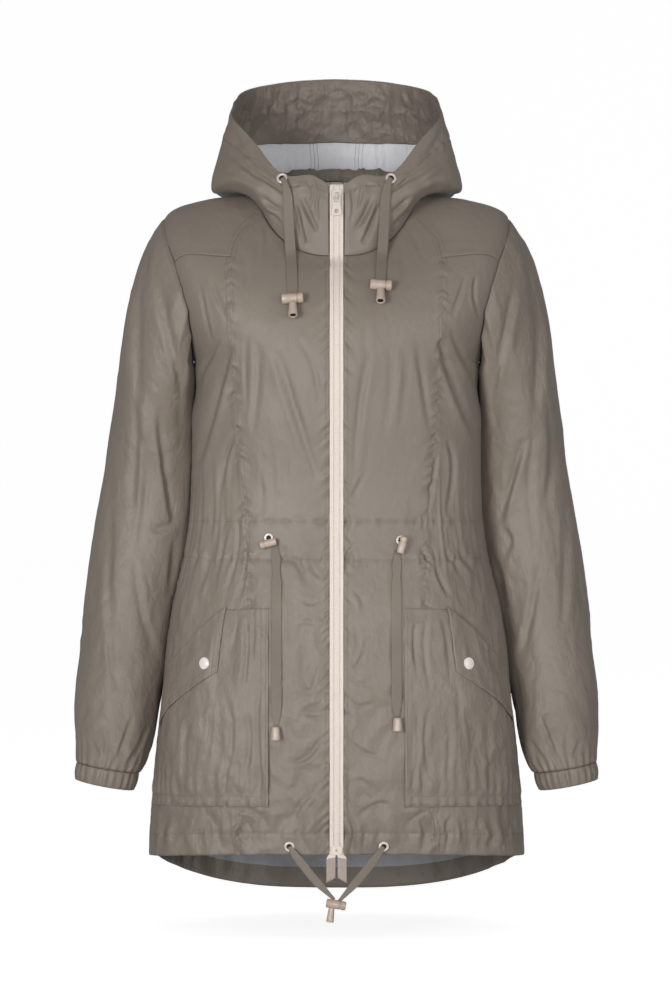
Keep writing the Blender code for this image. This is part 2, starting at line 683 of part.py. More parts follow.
def pocket_top(angles):
    """Give the level of the pocket's top edge at some angles."""
    return np.interp(np.degrees(angles), POCKET_TOP["angle"], POCKET_TOP["level"])


def pocket_puff(angles, levels):
    """Give how far the pocket swells off the torso, in its middle the most."""
    start = angle_at(POCKET_INNER, np.array(POCKET_BOTTOM_LEVEL))
    across = np.clip((angles - start) / (POCKET_OUTER_ANGLE - start), 0, 1)
    rise = np.clip((levels - POCKET_BOTTOM_LEVEL) / (pocket_top(angles) - POCKET_BOTTOM_LEVEL), 0, 1)
    return POCKET_PUFF * np.sin(np.pi * across) * np.sin(np.pi * rise)


def make_pockets():
    """Make the patch pockets, puffed in the middle and gathered along the bottom."""
    columns = 2 * POCKET_WAVES + 1
    across = np.linspace(0, 1, columns)
    start = angle_at(POCKET_INNER, np.array(POCKET_BOTTOM_LEVEL))
    top = pocket_top(start + (POCKET_OUTER_ANGLE - start) * across)
    levels = POCKET_BOTTOM_LEVEL + (top - POCKET_BOTTOM_LEVEL) * POCKET_RISE[:, None]
    inner_angles = angle_at(POCKET_INNER, levels[:, 0])[:, None]
    angles = inner_angles + (POCKET_OUTER_ANGLE - inner_angles) * across
    grid = np.stack((angles, levels), axis=-1)
    fade = np.clip(1 - POCKET_RISE / POCKET_WAVE_REACH, 0, 1)[:, None]
    waves = POCKET_WAVE_DEPTH * fade * (np.arange(columns) % 2)
    for side, word in ((1, "left"), (-1, "right")):
        lifted_patch("pocket_" + word, grid, pocket_puff(angles, levels) + waves, side)


def flap_lift(angles, levels):
    """Give how far the flap stands off the torso, clear of the pocket under it."""
    return pocket_puff(angles, levels) + PATCH_WALL + LIE_GAP + FLAP_CLEAR


def make_flaps():
    """Make the slanted flaps over the pocket mouths."""
    degrees = np.linspace(FLAP["angle"][0], FLAP["angle"][-1], FLAP_COLUMNS)
    top = np.interp(degrees, FLAP["angle"], FLAP["top"])
    bottom = np.interp(degrees, FLAP["angle"], FLAP["bottom"])
    levels = top + (bottom - top) * FLAP_RISE[:, None]
    angles = np.broadcast_to(np.radians(degrees), levels.shape)
    grid = np.stack((angles, levels), axis=-1)
    for side, word in ((1, "left"), (-1, "right")):
        lifted_patch("flap_" + word, grid, flap_lift(angles, levels), side)


def zip_path():
    """Give the zip's path up the front, as points on its outer face and their directions out."""
    levels = np.concatenate((LOWER_LEVELS, np.linspace(UNDERARM, NECK, 8)[1:]))
    body = torso(0.0, levels)
    collar = hood(np.full(6, HOOD_COLUMNS[0]), np.linspace(0, 1, 6))[1:]
    tail = body[:1] - np.array((0.0, 0.0, TAPE_TAIL))
    path = np.concatenate((tail, body, collar))[:, 1:]
    slope = unit(np.gradient(path, axis=0))
    out = np.stack((-slope[:, 1], slope[:, 0]), axis=-1)
    return path, out


def make_zip_tapes():
    """Make the two zip tapes, with their tails below the hem."""
    path, out = zip_path()
    reach = np.array((SEAM_GAP / 2, ZIP_HALF - SEAM_GAP))
    outer = np.zeros((len(path), 2, 3))
    outer[..., 0] = reach
    outer[..., 1:] = path[:, None]
    inner = outer.copy()
    inner[..., 1:] -= out[:, None] * TAPE_WALL
    for side, word in ((1, "left"), (-1, "right")):
        add_wall("zip_tape_" + word, outer, inner, "zip_tape", side)


def box_corners(size, centre):
    """Give a box's corner points and its faces."""
    signs = [(x, y, z) for x in (-0.5, 0.5) for y in (-0.5, 0.5) for z in (-0.5, 0.5)]
    points = np.array(signs) * size + centre
    faces = [(0, 1, 3, 2), (4, 6, 7, 5), (0, 4, 5, 1), (2, 3, 7, 6), (0, 2, 6, 4), (1, 5, 7, 3)]
    return points, faces


def combine(target, other, way):
    """Join a helper shape to an object, or cut it out, and keep the helper out of the model."""
    other.hide_render = True
    other.display_type = "WIRE"
    joined = target.modifiers.new(other.name, "BOOLEAN")
    joined.object = other
    joined.operation = way
    joined.solver = "EXACT"


def add_box(name, size, centre, finish):
    """Add a box."""
    points, faces = box_corners(np.array(size), np.array(centre))
    return add_object(name, points, faces, finish, smooth=False)


def add_rings(name, rows, finish, ring=False):
    """Add the body that joins rings of points, capped at both ends or closed on itself."""
    count, sides = rows.shape[:2]
    faces = []
    for row in range(count if ring else count - 1):
        for side in range(sides):
            beside = (side + 1) % sides
            below = row * sides
            above = (row + 1) % count * sides
            faces.append((below + side, below + beside, above + beside, above + side))
    if not ring:
        faces.append(tuple(reversed(range(sides))))
        faces.append(tuple(range((count - 1) * sides, count * sides)))
    return add_object(name, rows.reshape(-1, 3), faces, finish)


def turned(name, profile, spot, axis, finish, ring=False):
    """Add a shape turned about an axis, from radius and height pairs along it."""
    axis = unit(np.asarray(axis, dtype=float))
    helper = np.array((1.0, 0.0, 0.0)) if abs(axis[0]) < 0.8 else np.array((0.0, 0.0, 1.0))
    first = unit(np.cross(axis, helper))
    second = np.cross(axis, first)
    turn = np.linspace(0, 2 * math.pi, TURN_SIDES, endpoint=False)
    spoke = np.cos(turn)[:, None] * first + np.sin(turn)[:, None] * second
    rows = [np.asarray(spot) + radius * spoke + height * axis for radius, height in profile]
    return add_rings(name, np.stack(rows), finish, ring)


def make_slider_and_pull():
    """Make the zip slider with its bridge, and the pull tab that hangs in the bridge."""
    path, _ = zip_path()
    near = path[np.abs(path[:, 1] - SLIDER_HEIGHT) < SLIDER_SIZE[2]]
    face = near[:, 0].min() - SEAM_GAP
    plate_middle = face - SLIDER_SIZE[1] / 2
    front = face - SLIDER_SIZE[1]
    slider = add_box("zip_slider", SLIDER_SIZE, (0.0, plate_middle, SLIDER_HEIGHT), "zip_metal")
    bridge_size = (BRIDGE_WIDTH, BRIDGE_REACH + BRIDGE_SINK, BRIDGE_TALL)
    bridge_middle = front - (BRIDGE_REACH - BRIDGE_SINK) / 2
    bridge = add_box("bridge_helper", bridge_size, (0.0, bridge_middle, SLIDER_HEIGHT), "zip_metal")
    hole_reach = BRIDGE_REACH - BRIDGE_BAR
    hole_size = (3 * BRIDGE_WIDTH, hole_reach, BRIDGE_TALL - 2 * BRIDGE_BAR)
    pin = np.array((0.0, front - hole_reach / 2, SLIDER_HEIGHT))
    hole = add_box("hole_helper", hole_size, pin, "zip_metal")
    combine(slider, bridge, "UNION")
    combine(slider, hole, "DIFFERENCE")
    axle = bpy.data.objects.new("pull_axle", None)
    bpy.context.collection.objects.link(axle)
    axle.location = pin
    axle.parent = bpy.data.objects["parka"]
    bar = PULL_THICK / 2
    pull_size = (PULL_WIDTH, PULL_THICK, PULL_LENGTH)
    pull = add_box("zip_pull", pull_size, (0.0, 0.0, bar - PULL_LENGTH / 2), "zip_metal")
    window_size = (PULL_WINDOW[0], 3 * PULL_THICK, PULL_WINDOW[1])
    window = add_box("window_helper", window_size, (0.0, 0.0, -bar - PULL_WINDOW[1] / 2), "zip_metal")
    eye_height = PULL_EYE_RISE - PULL_LENGTH + bar
    eye_profile = ((PULL_EYE, -2 * PULL_THICK), (PULL_EYE, 2 * PULL_THICK))
    eye = turned("eye_helper", eye_profile, (0.0, 0.0, eye_height), (0.0, 1.0, 0.0), "zip_metal")
    for piece in (pull, window, eye):
        piece.parent = axle
    combine(pull, window, "DIFFERENCE")
    combine(pull, eye, "DIFFERENCE")


def eyelet_profile(radius):
    """Give an eyelet's ring section, as radius and height pairs."""
    hole = radius * EYELET_HOLE_SHARE
    edge = EYELET_BEVEL_SHARE * radius
    return (
        (hole, 0.0), (radius, 0.0), (radius - edge, EYELET_THICK), (hole + edge, EYELET_THICK),
    )


def make_eyelets():
    """Make the eyelets at the hood, the waist and the hem."""
    for side, word in ((1, "left"), (-1, "right")):
        mirror = np.array((side, 1.0, 1.0))
        angle, share = HOOD_EYELET
        spots = {"hood": (hood(angle, share), surface_normal(hood, np.array(angle), np.array(share)))}
        for place, (out, height) in (("waist", WAIST_EYELET[side]), ("hem", HEM_EYELET)):
            angle, level = front_spot(out, height)
            spots[place] = (torso(angle, level), surface_normal(torso, np.array(angle), np.array(level)))
        for place, (point, normal) in spots.items():
            base = (point + normal * EYELET_LIFT[place]) * mirror
            profile = eyelet_profile(EYELET_RADIUS[place])
            turned(f"eyelet_{place}_{word}", profile, base, normal * mirror, "eyelet_metal", ring=True)


def make_snaps():
    """Make the snap caps on the flaps."""
    angle, level = front_spot(*SNAP_SPOT)
    normal = surface_normal(torso, np.array(angle), np.array(level))
    lift = LIE_GAP + float(flap_lift(angle, level)) + PATCH_WALL + SNAP_CLEAR
    profile = ((SNAP_RADIUS, 0.0), (SNAP_RADIUS, 0.4 * SNAP_THICK), (0.6 * SNAP_RADIUS, SNAP_THICK))
    for side, word in ((1, "left"), (-1, "right")):
        mirror = np.array((side, 1.0, 1.0))
        base = (torso(angle, level) + normal * lift) * mirror
        turned("snap_" + word, profile, base, normal * mirror, "snap")


def smooth_route(place, side):
    """Read evenly spaced points, and the facing at each, from a smooth curve through a cord's route."""
    rows = np.array(ROUTES[place, side])
    steps = np.linalg.norm(np.diff(rows[:, :3], axis=0), axis=-1)
    distance = np.concatenate(((0.0,), np.cumsum(steps)))
    at = np.linspace(0, distance[-1], ROUTE_STEPS[place])
    columns = [smooth_curve(at, distance, rows[:, part]) for part in range(len(ROUTE_COLUMNS))]
    points = np.stack(columns[:3], axis=-1) * (side, 1, 1)
    facing = side * np.radians(columns[3])
    return points, np.stack((np.sin(facing), -np.cos(facing), np.zeros_like(facing)), axis=-1)


def cord_frame(place, side):
    """Give a cord's points with its directions along, across and out of the tape."""
    points, out = smooth_route(place, side)
    along = unit(np.gradient(points, axis=0))
    across = unit(np.cross(along, out))
    return points, along, across, np.cross(across, along)


def make_cords():
    """Make the flat drawcord tapes."""
    corners = np.array(((-0.5, -0.5), (0.5, -0.5), (0.5, 0.5), (-0.5, 0.5)))
    for side, word in ((1, "left"), (-1, "right")):
        for place, width in CORD_WIDTH.items():
            points, _, across, out = cord_frame(place, side)
            reach = corners * (width, CORD_THICK)
            rings = [points + across * wide + out * thick for wide, thick in reach]
            add_rings(f"cord_{place}_{word}", np.stack(rings, axis=1), "cord")


def lock_profile(place):
    """Give a cord lock's barrel, with a groove between its body and its plunger cap."""
    radius, half = LOCK_RADIUS[place], LOCK_LENGTH[place] / 2
    groove = 0.82 * radius
    return (
        (0.85 * radius, -half), (radius, -0.9 * half), (radius, 0.35 * half), (groove, 0.40 * half),
        (groove, 0.46 * half), (radius, 0.51 * half), (radius, 0.92 * half), (0.85 * radius, half),
    )


def end_profile(place):
    """Give a cord end: a bell that widens downwards."""
    radius, length = END_RADIUS[place], END_LENGTH[place]
    return ((0.72 * radius, 0.0), (0.86 * radius, 0.25 * length), (radius, length))


def lean_axis(degrees):
    """Give the direction of a barrel that leans by an angle from level, seen from the front."""
    return math.cos(math.radians(degrees)), 0.0, math.sin(math.radians(degrees))


def make_locks_and_ends():
    """Make the cord locks and the cord ends, where the cords carry them."""
    for side, word in ((1, "left"), (-1, "right")):
        points, along, across, out = (values[-1] for values in cord_frame("hood", side))
        radius = LOCK_RADIUS["hood"]
        barrel = points + along * (radius - LOCK_SEAT) + out * (radius + LIE_GAP - CORD_LIFT / 2)
        turned("lock_hood_" + word, lock_profile("hood"), barrel, -across, "tan_plastic")
        start = barrel + along * (radius + LIE_GAP)
        turned("end_hood_" + word, end_profile("hood"), start, along, "tan_plastic")
        points, along, across, out = (values[-1] for values in cord_frame("waist", side))
        start = points + along * LIE_GAP + out * (END_RADIUS["waist"] - CORD_LIFT / 2)
        turned("end_waist_" + word, end_profile("waist"), start, along, "tan_plastic")
        reach, height, lean = WAIST_LOCK[side]
        angle, level = front_spot(reach, height)
        normal = surface_normal(torso, np.array(angle), np.array(level))
        lift = EYELET_LIFT["waist"] + EYELET_THICK + 2 * LIE_GAP + LOCK_RADIUS["waist"]
        mirror = np.array((side, 1.0, 1.0))
        spot = (torso(angle, level) + normal * lift) * mirror
        turned("lock_waist_" + word, lock_profile("waist"), spot, mirror * lean_axis(lean), "tan_plastic")
    turned("lock_hem", lock_profile("hem"), HEM_LOCK, lean_axis(HEM_LOCK_LEAN), "tan_plastic")
    turned("end_hem", end_profile("hem"), HEM_END, HEM_END_AXIS, "tan_plastic")


def main():
    """Build the parka."""
    for old in list(bpy.data.objects):
        bpy.data.objects.remove(old)
    root = bpy.data.objects.new("parka", None)
    bpy.context.collection.objects.link(root)
    make_fronts()
    make_side_fronts()
    make_yokes()
    make_back()
    make_sleeves_and_cuffs()
    make_hood()
    make_hood_facings()
    make_pockets()
    make_flaps()
    make_zip_tapes()
    make_slider_and_pull()
    make_eyelets()
    make_snaps()
    make_cords()
    make_locks_and_ends()


main()
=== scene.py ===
"""The looks of a hooded rain parka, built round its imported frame.

The cloth follows the same three forms as the solids: the torso, the sleeve and the hood.
Creases, gathers and puckers are worked into each form, and a thin shell is made on it.
Lengths are metres. The front faces -Y and the wearer's left is +X.
"""
import math

import bpy
import numpy as np
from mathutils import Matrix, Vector

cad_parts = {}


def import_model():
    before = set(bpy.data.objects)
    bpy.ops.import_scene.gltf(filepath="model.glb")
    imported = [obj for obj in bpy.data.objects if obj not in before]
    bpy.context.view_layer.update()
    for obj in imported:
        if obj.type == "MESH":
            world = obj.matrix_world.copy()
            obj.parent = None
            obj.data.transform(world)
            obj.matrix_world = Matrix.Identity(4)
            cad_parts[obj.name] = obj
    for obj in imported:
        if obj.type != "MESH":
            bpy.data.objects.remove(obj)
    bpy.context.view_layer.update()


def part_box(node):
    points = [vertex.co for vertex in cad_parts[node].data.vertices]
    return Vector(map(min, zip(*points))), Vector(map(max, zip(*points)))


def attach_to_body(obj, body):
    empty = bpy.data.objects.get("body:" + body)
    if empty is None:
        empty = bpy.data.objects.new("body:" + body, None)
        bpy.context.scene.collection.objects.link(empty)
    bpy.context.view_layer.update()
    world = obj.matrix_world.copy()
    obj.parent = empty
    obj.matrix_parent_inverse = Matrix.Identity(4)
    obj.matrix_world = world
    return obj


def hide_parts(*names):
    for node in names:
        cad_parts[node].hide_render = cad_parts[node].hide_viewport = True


# Cloth and seams
PATCH_WALL = 0.0012
SHELL_WALL = 0.0010
THIN_WALL = 0.0009
FACING_WALL = 0.0008
SEAM_GAP = 0.0003
LIE_GAP = 0.0003
SEAM_ROLL = 0.0004
SEAM_ROLL_REACH = 0.0015
CREASE_GAIN = 1.5
CREASE_SLIM = 0.72

# Sides as worn, and the edges of a grid of points
SIDES = ((1, "left"), (-1, "right"))
EVERY_EDGE = ("first_row", "last_row", "first_column", "last_column")

# Torso form
PLAN_SWELL = 0.05
HEIGHT_BLEND = 3.0
ZIP_HALF = 0.0080
YOKE_NECK_ANGLE = math.radians(62)
YOKE_PRINCESS_LEVEL = -0.106

# Hood form
HOOD_START = math.radians(5.4)
FACING_START = math.radians(70)
FACING_SEAM = math.radians(163)
NECK_FACING_START = math.radians(127)
NECK_FACING_SHARES = (0.08, 0.18)
FACING_HEM_SHARE = 0.934

# Gathers
CUFF_WAVES = 24
CUFF_WAVE_DEPTH = 0.0013
POCKET_WAVES = 15
POCKET_PUFF = 0.0060
POCKET_GATHER_DEPTH = 0.0042
WAIST_ROWS = (-0.3745, -0.4165)
HEM_ROW = -0.7215

# Where the sleeve lies against the body
UNDERARM_PRESS = 0.0036
PRESS_HEIGHT = (-0.580, -0.520, -0.203, -0.190)

# Sewing
STITCH_PITCH = 0.0031
STITCH_LENGTH = 0.0022
STITCH_RADIUS = 0.00032
SEAM_STITCH = (0.0042,)
EDGE_STITCH = (0.0030, 0.0085)
POCKET_BAND_STITCH = (0.0030, 0.0120)
SEWN_HOOD_EDGES = {
    "hood_left": ("last_column",),
    "hood_right": ("first_column",),
    "hood_centre": ("first_column", "last_column"),
}

# Zip and trim
TAPE_TAIL = 0.031
ZIP_BOX_HEIGHT = -0.7405
TOOTH_PITCH = 0.0026
TOOTH_HALF = 0.0008
TOOTH_REACH = (0.0025, 0.0041)
EYELET_RADIUS = {"hood": 0.0064, "waist": 0.0054, "hem": 0.0058}
EYELET_LIFT = {"hood": 0.0008, "waist": 0.0003, "hem": 0.0003}
EYELET_THICK = 0.0012
SNAP_RADIUS = 0.0067
SNAP_THICK = 0.0022
SNAP_CLEAR = 0.0004
CORD_THICK = 0.0016
CORD_LIFT = 0.0015
CORD_ROWS = 90
CORD_WIDTH = {"hood": 0.0120, "waist": 0.0122, "hem": 0.0095}
LOCK_RADIUS = {"hood": 0.0058, "waist": 0.0043, "hem": 0.0050}
LOCK_LENGTH = {"hood": 0.0245, "waist": 0.0190, "hem": 0.0222}
LOCK_SEAT = 0.0015
END_RADIUS = {"hood": 0.0054, "waist": 0.0055, "hem": 0.0042}
END_LENGTH = {"hood": 0.0170, "waist": 0.0150, "hem": 0.0165}

# How far each cord runs on past the two ends of its route
CORD_TUCK = {"hood": (0.0, 0.0), "waist": (0.0055, 0.0), "hem": (0.0, 0.0035)}

# Camera, and the scale of the picture in the plane y = 0
PIXEL = 0.00115
PICTURE_MIDDLE = (336.5, 504.0)
PICTURE_SIZE = (672, 1008)
EYE_BACK = 4.0
EYE_HEIGHT = -0.355
EYE_SIDE = -0.0006

# Cloths: dark and light colour, roughness, depth of the crumples, and whether they are calmer high up
CLOTHS = {
    "shell": ((0.215, 0.180, 0.148), (0.245, 0.207, 0.172), 0.50, 0.0016, True),
    "sleeve": ((0.215, 0.180, 0.148), (0.245, 0.207, 0.172), 0.50, 0.0013, False),
    "hood_reverse": ((0.72, 0.72, 0.745), (0.84, 0.84, 0.86), 0.6, 0.0024, False),
    # The reverse inside the torso and sleeves is a darker copy of the hood's reverse cloth: painted shade.
    "reverse": ((0.24, 0.24, 0.25), (0.30, 0.30, 0.315), 0.6, 0.0012, False),
    # The turned-up hem inside the back is a darker copy of the shell cloth: painted shade.
    "shaded_hem_facing": ((0.135, 0.114, 0.096), (0.165, 0.139, 0.118), 0.6, 0.0014, False),
    "facing": ((0.185, 0.153, 0.127), (0.225, 0.19, 0.158), 0.48, 0.0026, False),
    "cord": ((0.185, 0.155, 0.125), (0.235, 0.20, 0.165), 0.7, 0.0002, False),
}

# Other finishes: dark and light colour, roughness, metallic share, scale of the change of tone, and coat
FINISHES = {
    "zip_tape": ((0.73, 0.645, 0.58), (0.83, 0.745, 0.68), 0.75, 0.0, 700.0, 0.0),
    # The zip tape's tails below the hem are a darker copy of the tape: painted shade.
    "shaded_zip_tail": ((0.36, 0.30, 0.26), (0.44, 0.375, 0.33), 0.75, 0.0, 700.0, 0.0),
    # The teeth are darker than the tape: painted shade for the gaps between them.
    "shaded_zip_tooth": ((0.57, 0.495, 0.44), (0.65, 0.57, 0.515), 0.4, 0.0, 160.0, 0.1),
    "zip_metal": ((0.66, 0.58, 0.52), (0.72, 0.64, 0.58), 0.28, 0.0, 160.0, 0.4),
    "eyelet_metal": ((0.78, 0.70, 0.66), (0.86, 0.78, 0.74), 0.30, 0.35, 160.0, 0.3),
    # Near black for the floors of eyelet holes and the mouths of cord ends: painted shade in the hollows.
    "painted_hole_shade": ((0.012, 0.010, 0.009), (0.02, 0.017, 0.015), 0.8, 0.0, 160.0, 0.0),
    "tan_plastic": ((0.47, 0.37, 0.295), (0.55, 0.445, 0.365), 0.34, 0.0, 160.0, 0.15),
    "snap": ((0.82, 0.75, 0.70), (0.90, 0.84, 0.79), 0.28, 0.0, 160.0, 0.4),
    "thread": ((0.20, 0.168, 0.138), (0.24, 0.20, 0.168), 0.6, 0.0, 900.0, 0.0),
}

# Stage and light: name, place, target, size, spread and power
FLOOR = -0.842
FLOOR_REACH = 20.0
BACKDROP_START = 14.0
SWEEP = 2.0
STAGE_GLOW = 0.785
SURROUND = 0.25
LIGHTS = (
    ("key", (-1.6, -3.1, -0.30), (0.0, 0.0, -0.40), (0.9, 1.2), 50, 5.4),
    ("front", (0.6, -3.7, -0.25), (0.0, 0.0, -0.40), (0.9, 0.9), 50, 2.9),
    ("fill", (2.3, -2.6, -0.35), (0.0, 0.0, -0.40), (0.8, 1.4), 60, 2.1),
)


def table(columns, rows):
    """Turn rows into named columns."""
    return {name: np.array(values) for name, values in zip(columns, zip(*rows))}


# Rings of the torso from hem to neck. Heights are at centre front, side and centre back.
TORSO = table(
    ("front", "side", "back", "half_width", "front_depth", "back_depth"),
    (
        (-0.746, -0.7565, -0.8125, 0.2160, 0.128, 0.150),
        (-0.722, -0.730, -0.781, 0.2146, 0.131, 0.151),
        (-0.627, -0.627, -0.656, 0.2065, 0.136, 0.150),
        (-0.540, -0.540, -0.550, 0.1950, 0.136, 0.146),
        (-0.470, -0.470, -0.472, 0.1840, 0.131, 0.139),
        (-0.418, -0.416, -0.416, 0.1705, 0.123, 0.128),
        (-0.375, -0.375, -0.375, 0.1640, 0.119, 0.122),
        (-0.330, -0.330, -0.330, 0.1627, 0.121, 0.124),
        (-0.259, -0.258, -0.258, 0.1627, 0.130, 0.132),
        (-0.195, -0.190, -0.192, 0.1640, 0.133, 0.136),
        (-0.167, -0.130, -0.148, 0.1870, 0.131, 0.132),
        (-0.143, -0.076, -0.108, 0.2000, 0.126, 0.124),
        (-0.122, -0.0255, -0.064, 0.1965, 0.117, 0.110),
        (-0.099, -0.0055, -0.024, 0.1500, 0.102, 0.086),
        (-0.075, -0.001, 0.008, 0.0915, 0.080, 0.066),
    ),
)

# Levels, named by their height at centre front, that every torso panel is cut through
HEM, UNDERARM, SHOULDER_TIP, NECK = -0.746, -0.195, -0.122, -0.075
LOWER_LEVELS = np.array(
    (HEM, -0.722, -0.665, -0.600, -0.540, -0.485, -0.445, -0.418, -0.397, -0.375, -0.345, -0.290,
     -0.235, UNDERARM))

# Armhole edge: how far, in degrees, it opens from the side towards the front and the back
ARMHOLE = table(
    ("level", "spread"),
    ((UNDERARM, 0.0), (-0.191, 13.0), (-0.180, 26.0), (-0.163, 32.5), (-0.147, 32.5), (-0.135, 28.0),
     (-0.1285, 20.0), (-0.1242, 10.0), (SHOULDER_TIP, 0.0)),
)
YOKE_ARMHOLE_ROW = 5

# Princess seam: distance from the centre at each level
PRINCESS = table(
    ("level", "out"),
    ((HEM, 0.1105), (-0.470, 0.0990), (-0.435, 0.0995), (-0.375, 0.1020), (-0.317, 0.1065),
     (-0.261, 0.1125), (-0.150, 0.1190), (YOKE_PRINCESS_LEVEL, 0.1180)),
)

# Depth of the waist gathers at each level
WAIST_GATHER = table(
    ("level", "depth"),
    ((HEM, 0.0), (-0.500, 0.0), (-0.445, 0.0013), (-0.418, 0.0020), (-0.375, 0.0020), (-0.345, 0.0011),
     (-0.290, 0.0), (NECK, 0.0)),
)

# Sleeve sections below the armhole: centre, half sizes and tilt, outer side up
SLEEVE = table(
    ("x", "y", "z", "half_width", "half_depth", "tilt"),
    (
        (0.2118, 0.028, -0.272, 0.0503, 0.066, 14.0),
        (0.2162, 0.037, -0.330, 0.0547, 0.065, 11.0),
        (0.2227, 0.037, -0.385, 0.0575, 0.064, 10.0),
        (0.2349, 0.032, -0.447, 0.0545, 0.063, 9.0),
        (0.2410, 0.029, -0.485, 0.0521, 0.062, 8.0),
        (0.2468, 0.022, -0.535, 0.0507, 0.061, 8.0),
        (0.2529, 0.010, -0.584, 0.0490, 0.058, 8.0),
        (0.2556, -0.006, -0.621, 0.0455, 0.053, 9.0),
        (0.2582, -0.018, -0.643, 0.0407, 0.046, 10.0),
        (0.2610, -0.026, -0.655, 0.0365, 0.040, 10.0),
    ),
)
CAP_PULL = 0.75

# Way the sleeve leaves the armhole: its lean outwards at the underarm, and what the tip adds
UNDERARM_LEAN = 0.12
TIP_LEAN = 0.70
TIP_LIFT = 0.30

CUFF_SECTIONS = table(
    ("x", "y", "z", "half_width", "half_depth", "tilt"),
    ((0.2611, -0.026, -0.6556, 0.0364, 0.0398, 10.0), (0.2630, -0.0265, -0.665, 0.0350, 0.0385, 10.5),
     (0.2650, -0.027, -0.675, 0.0345, 0.0380, 11.0)),
)

# Hood sections from the neck seam to the rim, each point as steps out from and up from the seam
HOOD_POINTS = ("seam", "stand", "fold", "belly", "upper", "rim")
HOOD = table(
    ("angle", "stand_out", "stand_up", "fold_out", "fold_up", "belly_out", "belly_up", "upper_out",
     "upper_up", "rim_out", "rim_up"),
    (
        (4.0, 0.001, 0.016, 0.003, 0.032, 0.004, 0.048, 0.003, 0.064, 0.000, 0.079),
        (16.0, 0.002, 0.018, 0.004, 0.036, 0.006, 0.054, 0.005, 0.072, 0.001, 0.089),
        (38.0, 0.004, 0.014, 0.008, 0.029, 0.011, 0.045, 0.009, 0.061, 0.003, 0.076),
        (60.0, 0.007, 0.012, 0.020, 0.025, 0.030, 0.040, 0.022, 0.058, 0.007, 0.0775),
        (85.0, 0.020, 0.004, 0.042, 0.005, 0.050, 0.015, 0.040, 0.052, 0.028, 0.089),
        (110.0, 0.018, 0.011, 0.047, 0.003, 0.057, 0.013, 0.047, 0.060, 0.033, 0.112),
        (145.0, 0.010, 0.022, 0.052, -0.012, 0.074, -0.004, 0.076, 0.055, 0.052, 0.132),
        (180.0, 0.008, 0.024, 0.054, -0.020, 0.082, -0.010, 0.086, 0.050, 0.060, 0.141),
        (215.0, 0.010, 0.022, 0.052, -0.012, 0.074, -0.004, 0.076, 0.055, 0.052, 0.132),
    ),
)

# Patch pocket: its top edge by angle, and its other edges
POCKET_TOP = table(
    ("angle", "level"), ((20.0, -0.471), (39.0, -0.473), (58.0, -0.523), (78.0, -0.560)))
POCKET_BOTTOM_LEVEL = -0.692
POCKET_INNER = 0.0755
POCKET_OUTER_ANGLE = math.radians(77)

# Flap over the slanted pocket mouth
FLAP = table(
    ("angle", "top", "bottom"),
    ((39.5, -0.470, -0.5425), (48.0, -0.490, -0.560), (58.0, -0.515, -0.578), (68.0, -0.533, -0.597),
     (77.0, -0.545, -0.613)),
)
FLAP_CLEAR = 0.0008
SNAP_SPOT = (0.1435, -0.534)

# Places of the eyelets: hood ones by angle and share of the section, others by x and z
HOOD_EYELET = (math.radians(37.5), 0.93)
WAIST_EYELET = {1: (0.0716, -0.3955), -1: (0.0757, -0.3930)}
HEM_EYELET = (0.0525, -0.7365)

# Cord locks at the waist lie on their eyelets: x, z and the lean of the barrel from level
WAIST_LOCK = {1: (0.0719, -0.4016, 75.0), -1: (0.0747, -0.3997, -15.0)}
HEM_LOCK = (-0.0005, -0.1318, -0.8005)
HEM_LOCK_LEAN = -10.0
HEM_END = (-0.0058, -0.1318, -0.8058)
HEM_END_AXIS = (-0.12, 0.0, -1.0)

# Cord routes on the wearer's left: place, and the way the tape faces in degrees from the front.
# The tape on the wearer's right follows the same route mirrored, with its own end points.
ROUTE_COLUMNS = ("x", "y", "z", "facing")
HOOD_ROUTE = (
    (0.0612, -0.0745, 0.0135, 15.0), (0.0580, -0.0785, 0.0050, 16.0), (0.0555, -0.0806, -0.0080, 16.0),
    (0.0545, -0.0812, -0.0250, 16.0), (0.0535, -0.0814, -0.0430, 13.0), (0.0525, -0.0816, -0.0600, 9.0),
    (0.0517, -0.0828, -0.0720, 5.0), (0.0507, -0.0898, -0.0830, 2.0), (0.0500, -0.0985, -0.0935, 2.0),
    (0.0494, -0.1099, -0.1098, 2.0),
)
WAIST_ROUTE = (
    (0.0680, -0.1171, -0.4122, 12.5), (0.0672, -0.1200, -0.4300, 12.0), (0.0670, -0.1254, -0.4600, 11.0),
    (0.0669, -0.1299, -0.5000, 10.5), (0.0669, -0.1328, -0.5500, 10.0), (0.0669, -0.1334, -0.5920, 9.0),
)
HEM_ROUTE = (
    (0.0525, -0.1297, -0.7365, 6.0), (0.0410, -0.1313, -0.7520, 4.0), (0.0250, -0.1318, -0.7720, 2.0),
)
ROUTES = {
    ("hood", 1): HOOD_ROUTE,
    ("hood", -1): HOOD_ROUTE + ((0.0488, -0.1188, -0.1248, 3.0),),
    ("waist", 1): WAIST_ROUTE,
    ("waist", -1): ((0.0686, -0.1159, -0.4045, 12.5),) + WAIST_ROUTE + ((0.0669, -0.1333, -0.6020, 9.0),),
    ("hem", 1): HEM_ROUTE + ((0.0046, -0.1318, -0.7948, 0.0),),
    ("hem", -1): HEM_ROUTE + ((0.0050, -0.1318, -0.7925, 0.0),),
}


def hermite(share, start, start_slope, end, end_slope):
    """Blend smoothly from a start to an end that have slopes of their own."""
    square, cube = share ** 2, share ** 3
    early = (2 * cube - 3 * square + 1) * start + (cube - 2 * square + share) * start_slope
    return early + (3 * square - 2 * cube) * end + (cube - square) * end_slope


def distance_along(points):
    """Give the distance to each point along a line, or along each column of a grid."""
    steps = np.linalg.norm(np.diff(points, axis=0), axis=-1)
    return np.concatenate((np.zeros_like(steps[:1]), np.cumsum(steps, axis=0)))


def read_along(values, distance, at):
    """Read the columns of a line of values at some distances along it."""
    return np.stack([np.interp(at, distance, column) for column in values.T], axis=-1)


def front_angle(angle):
    """Give an angle as its turn from the front, at most half a turn either way."""
    return (angle + math.pi) % (2 * math.pi) - math.pi


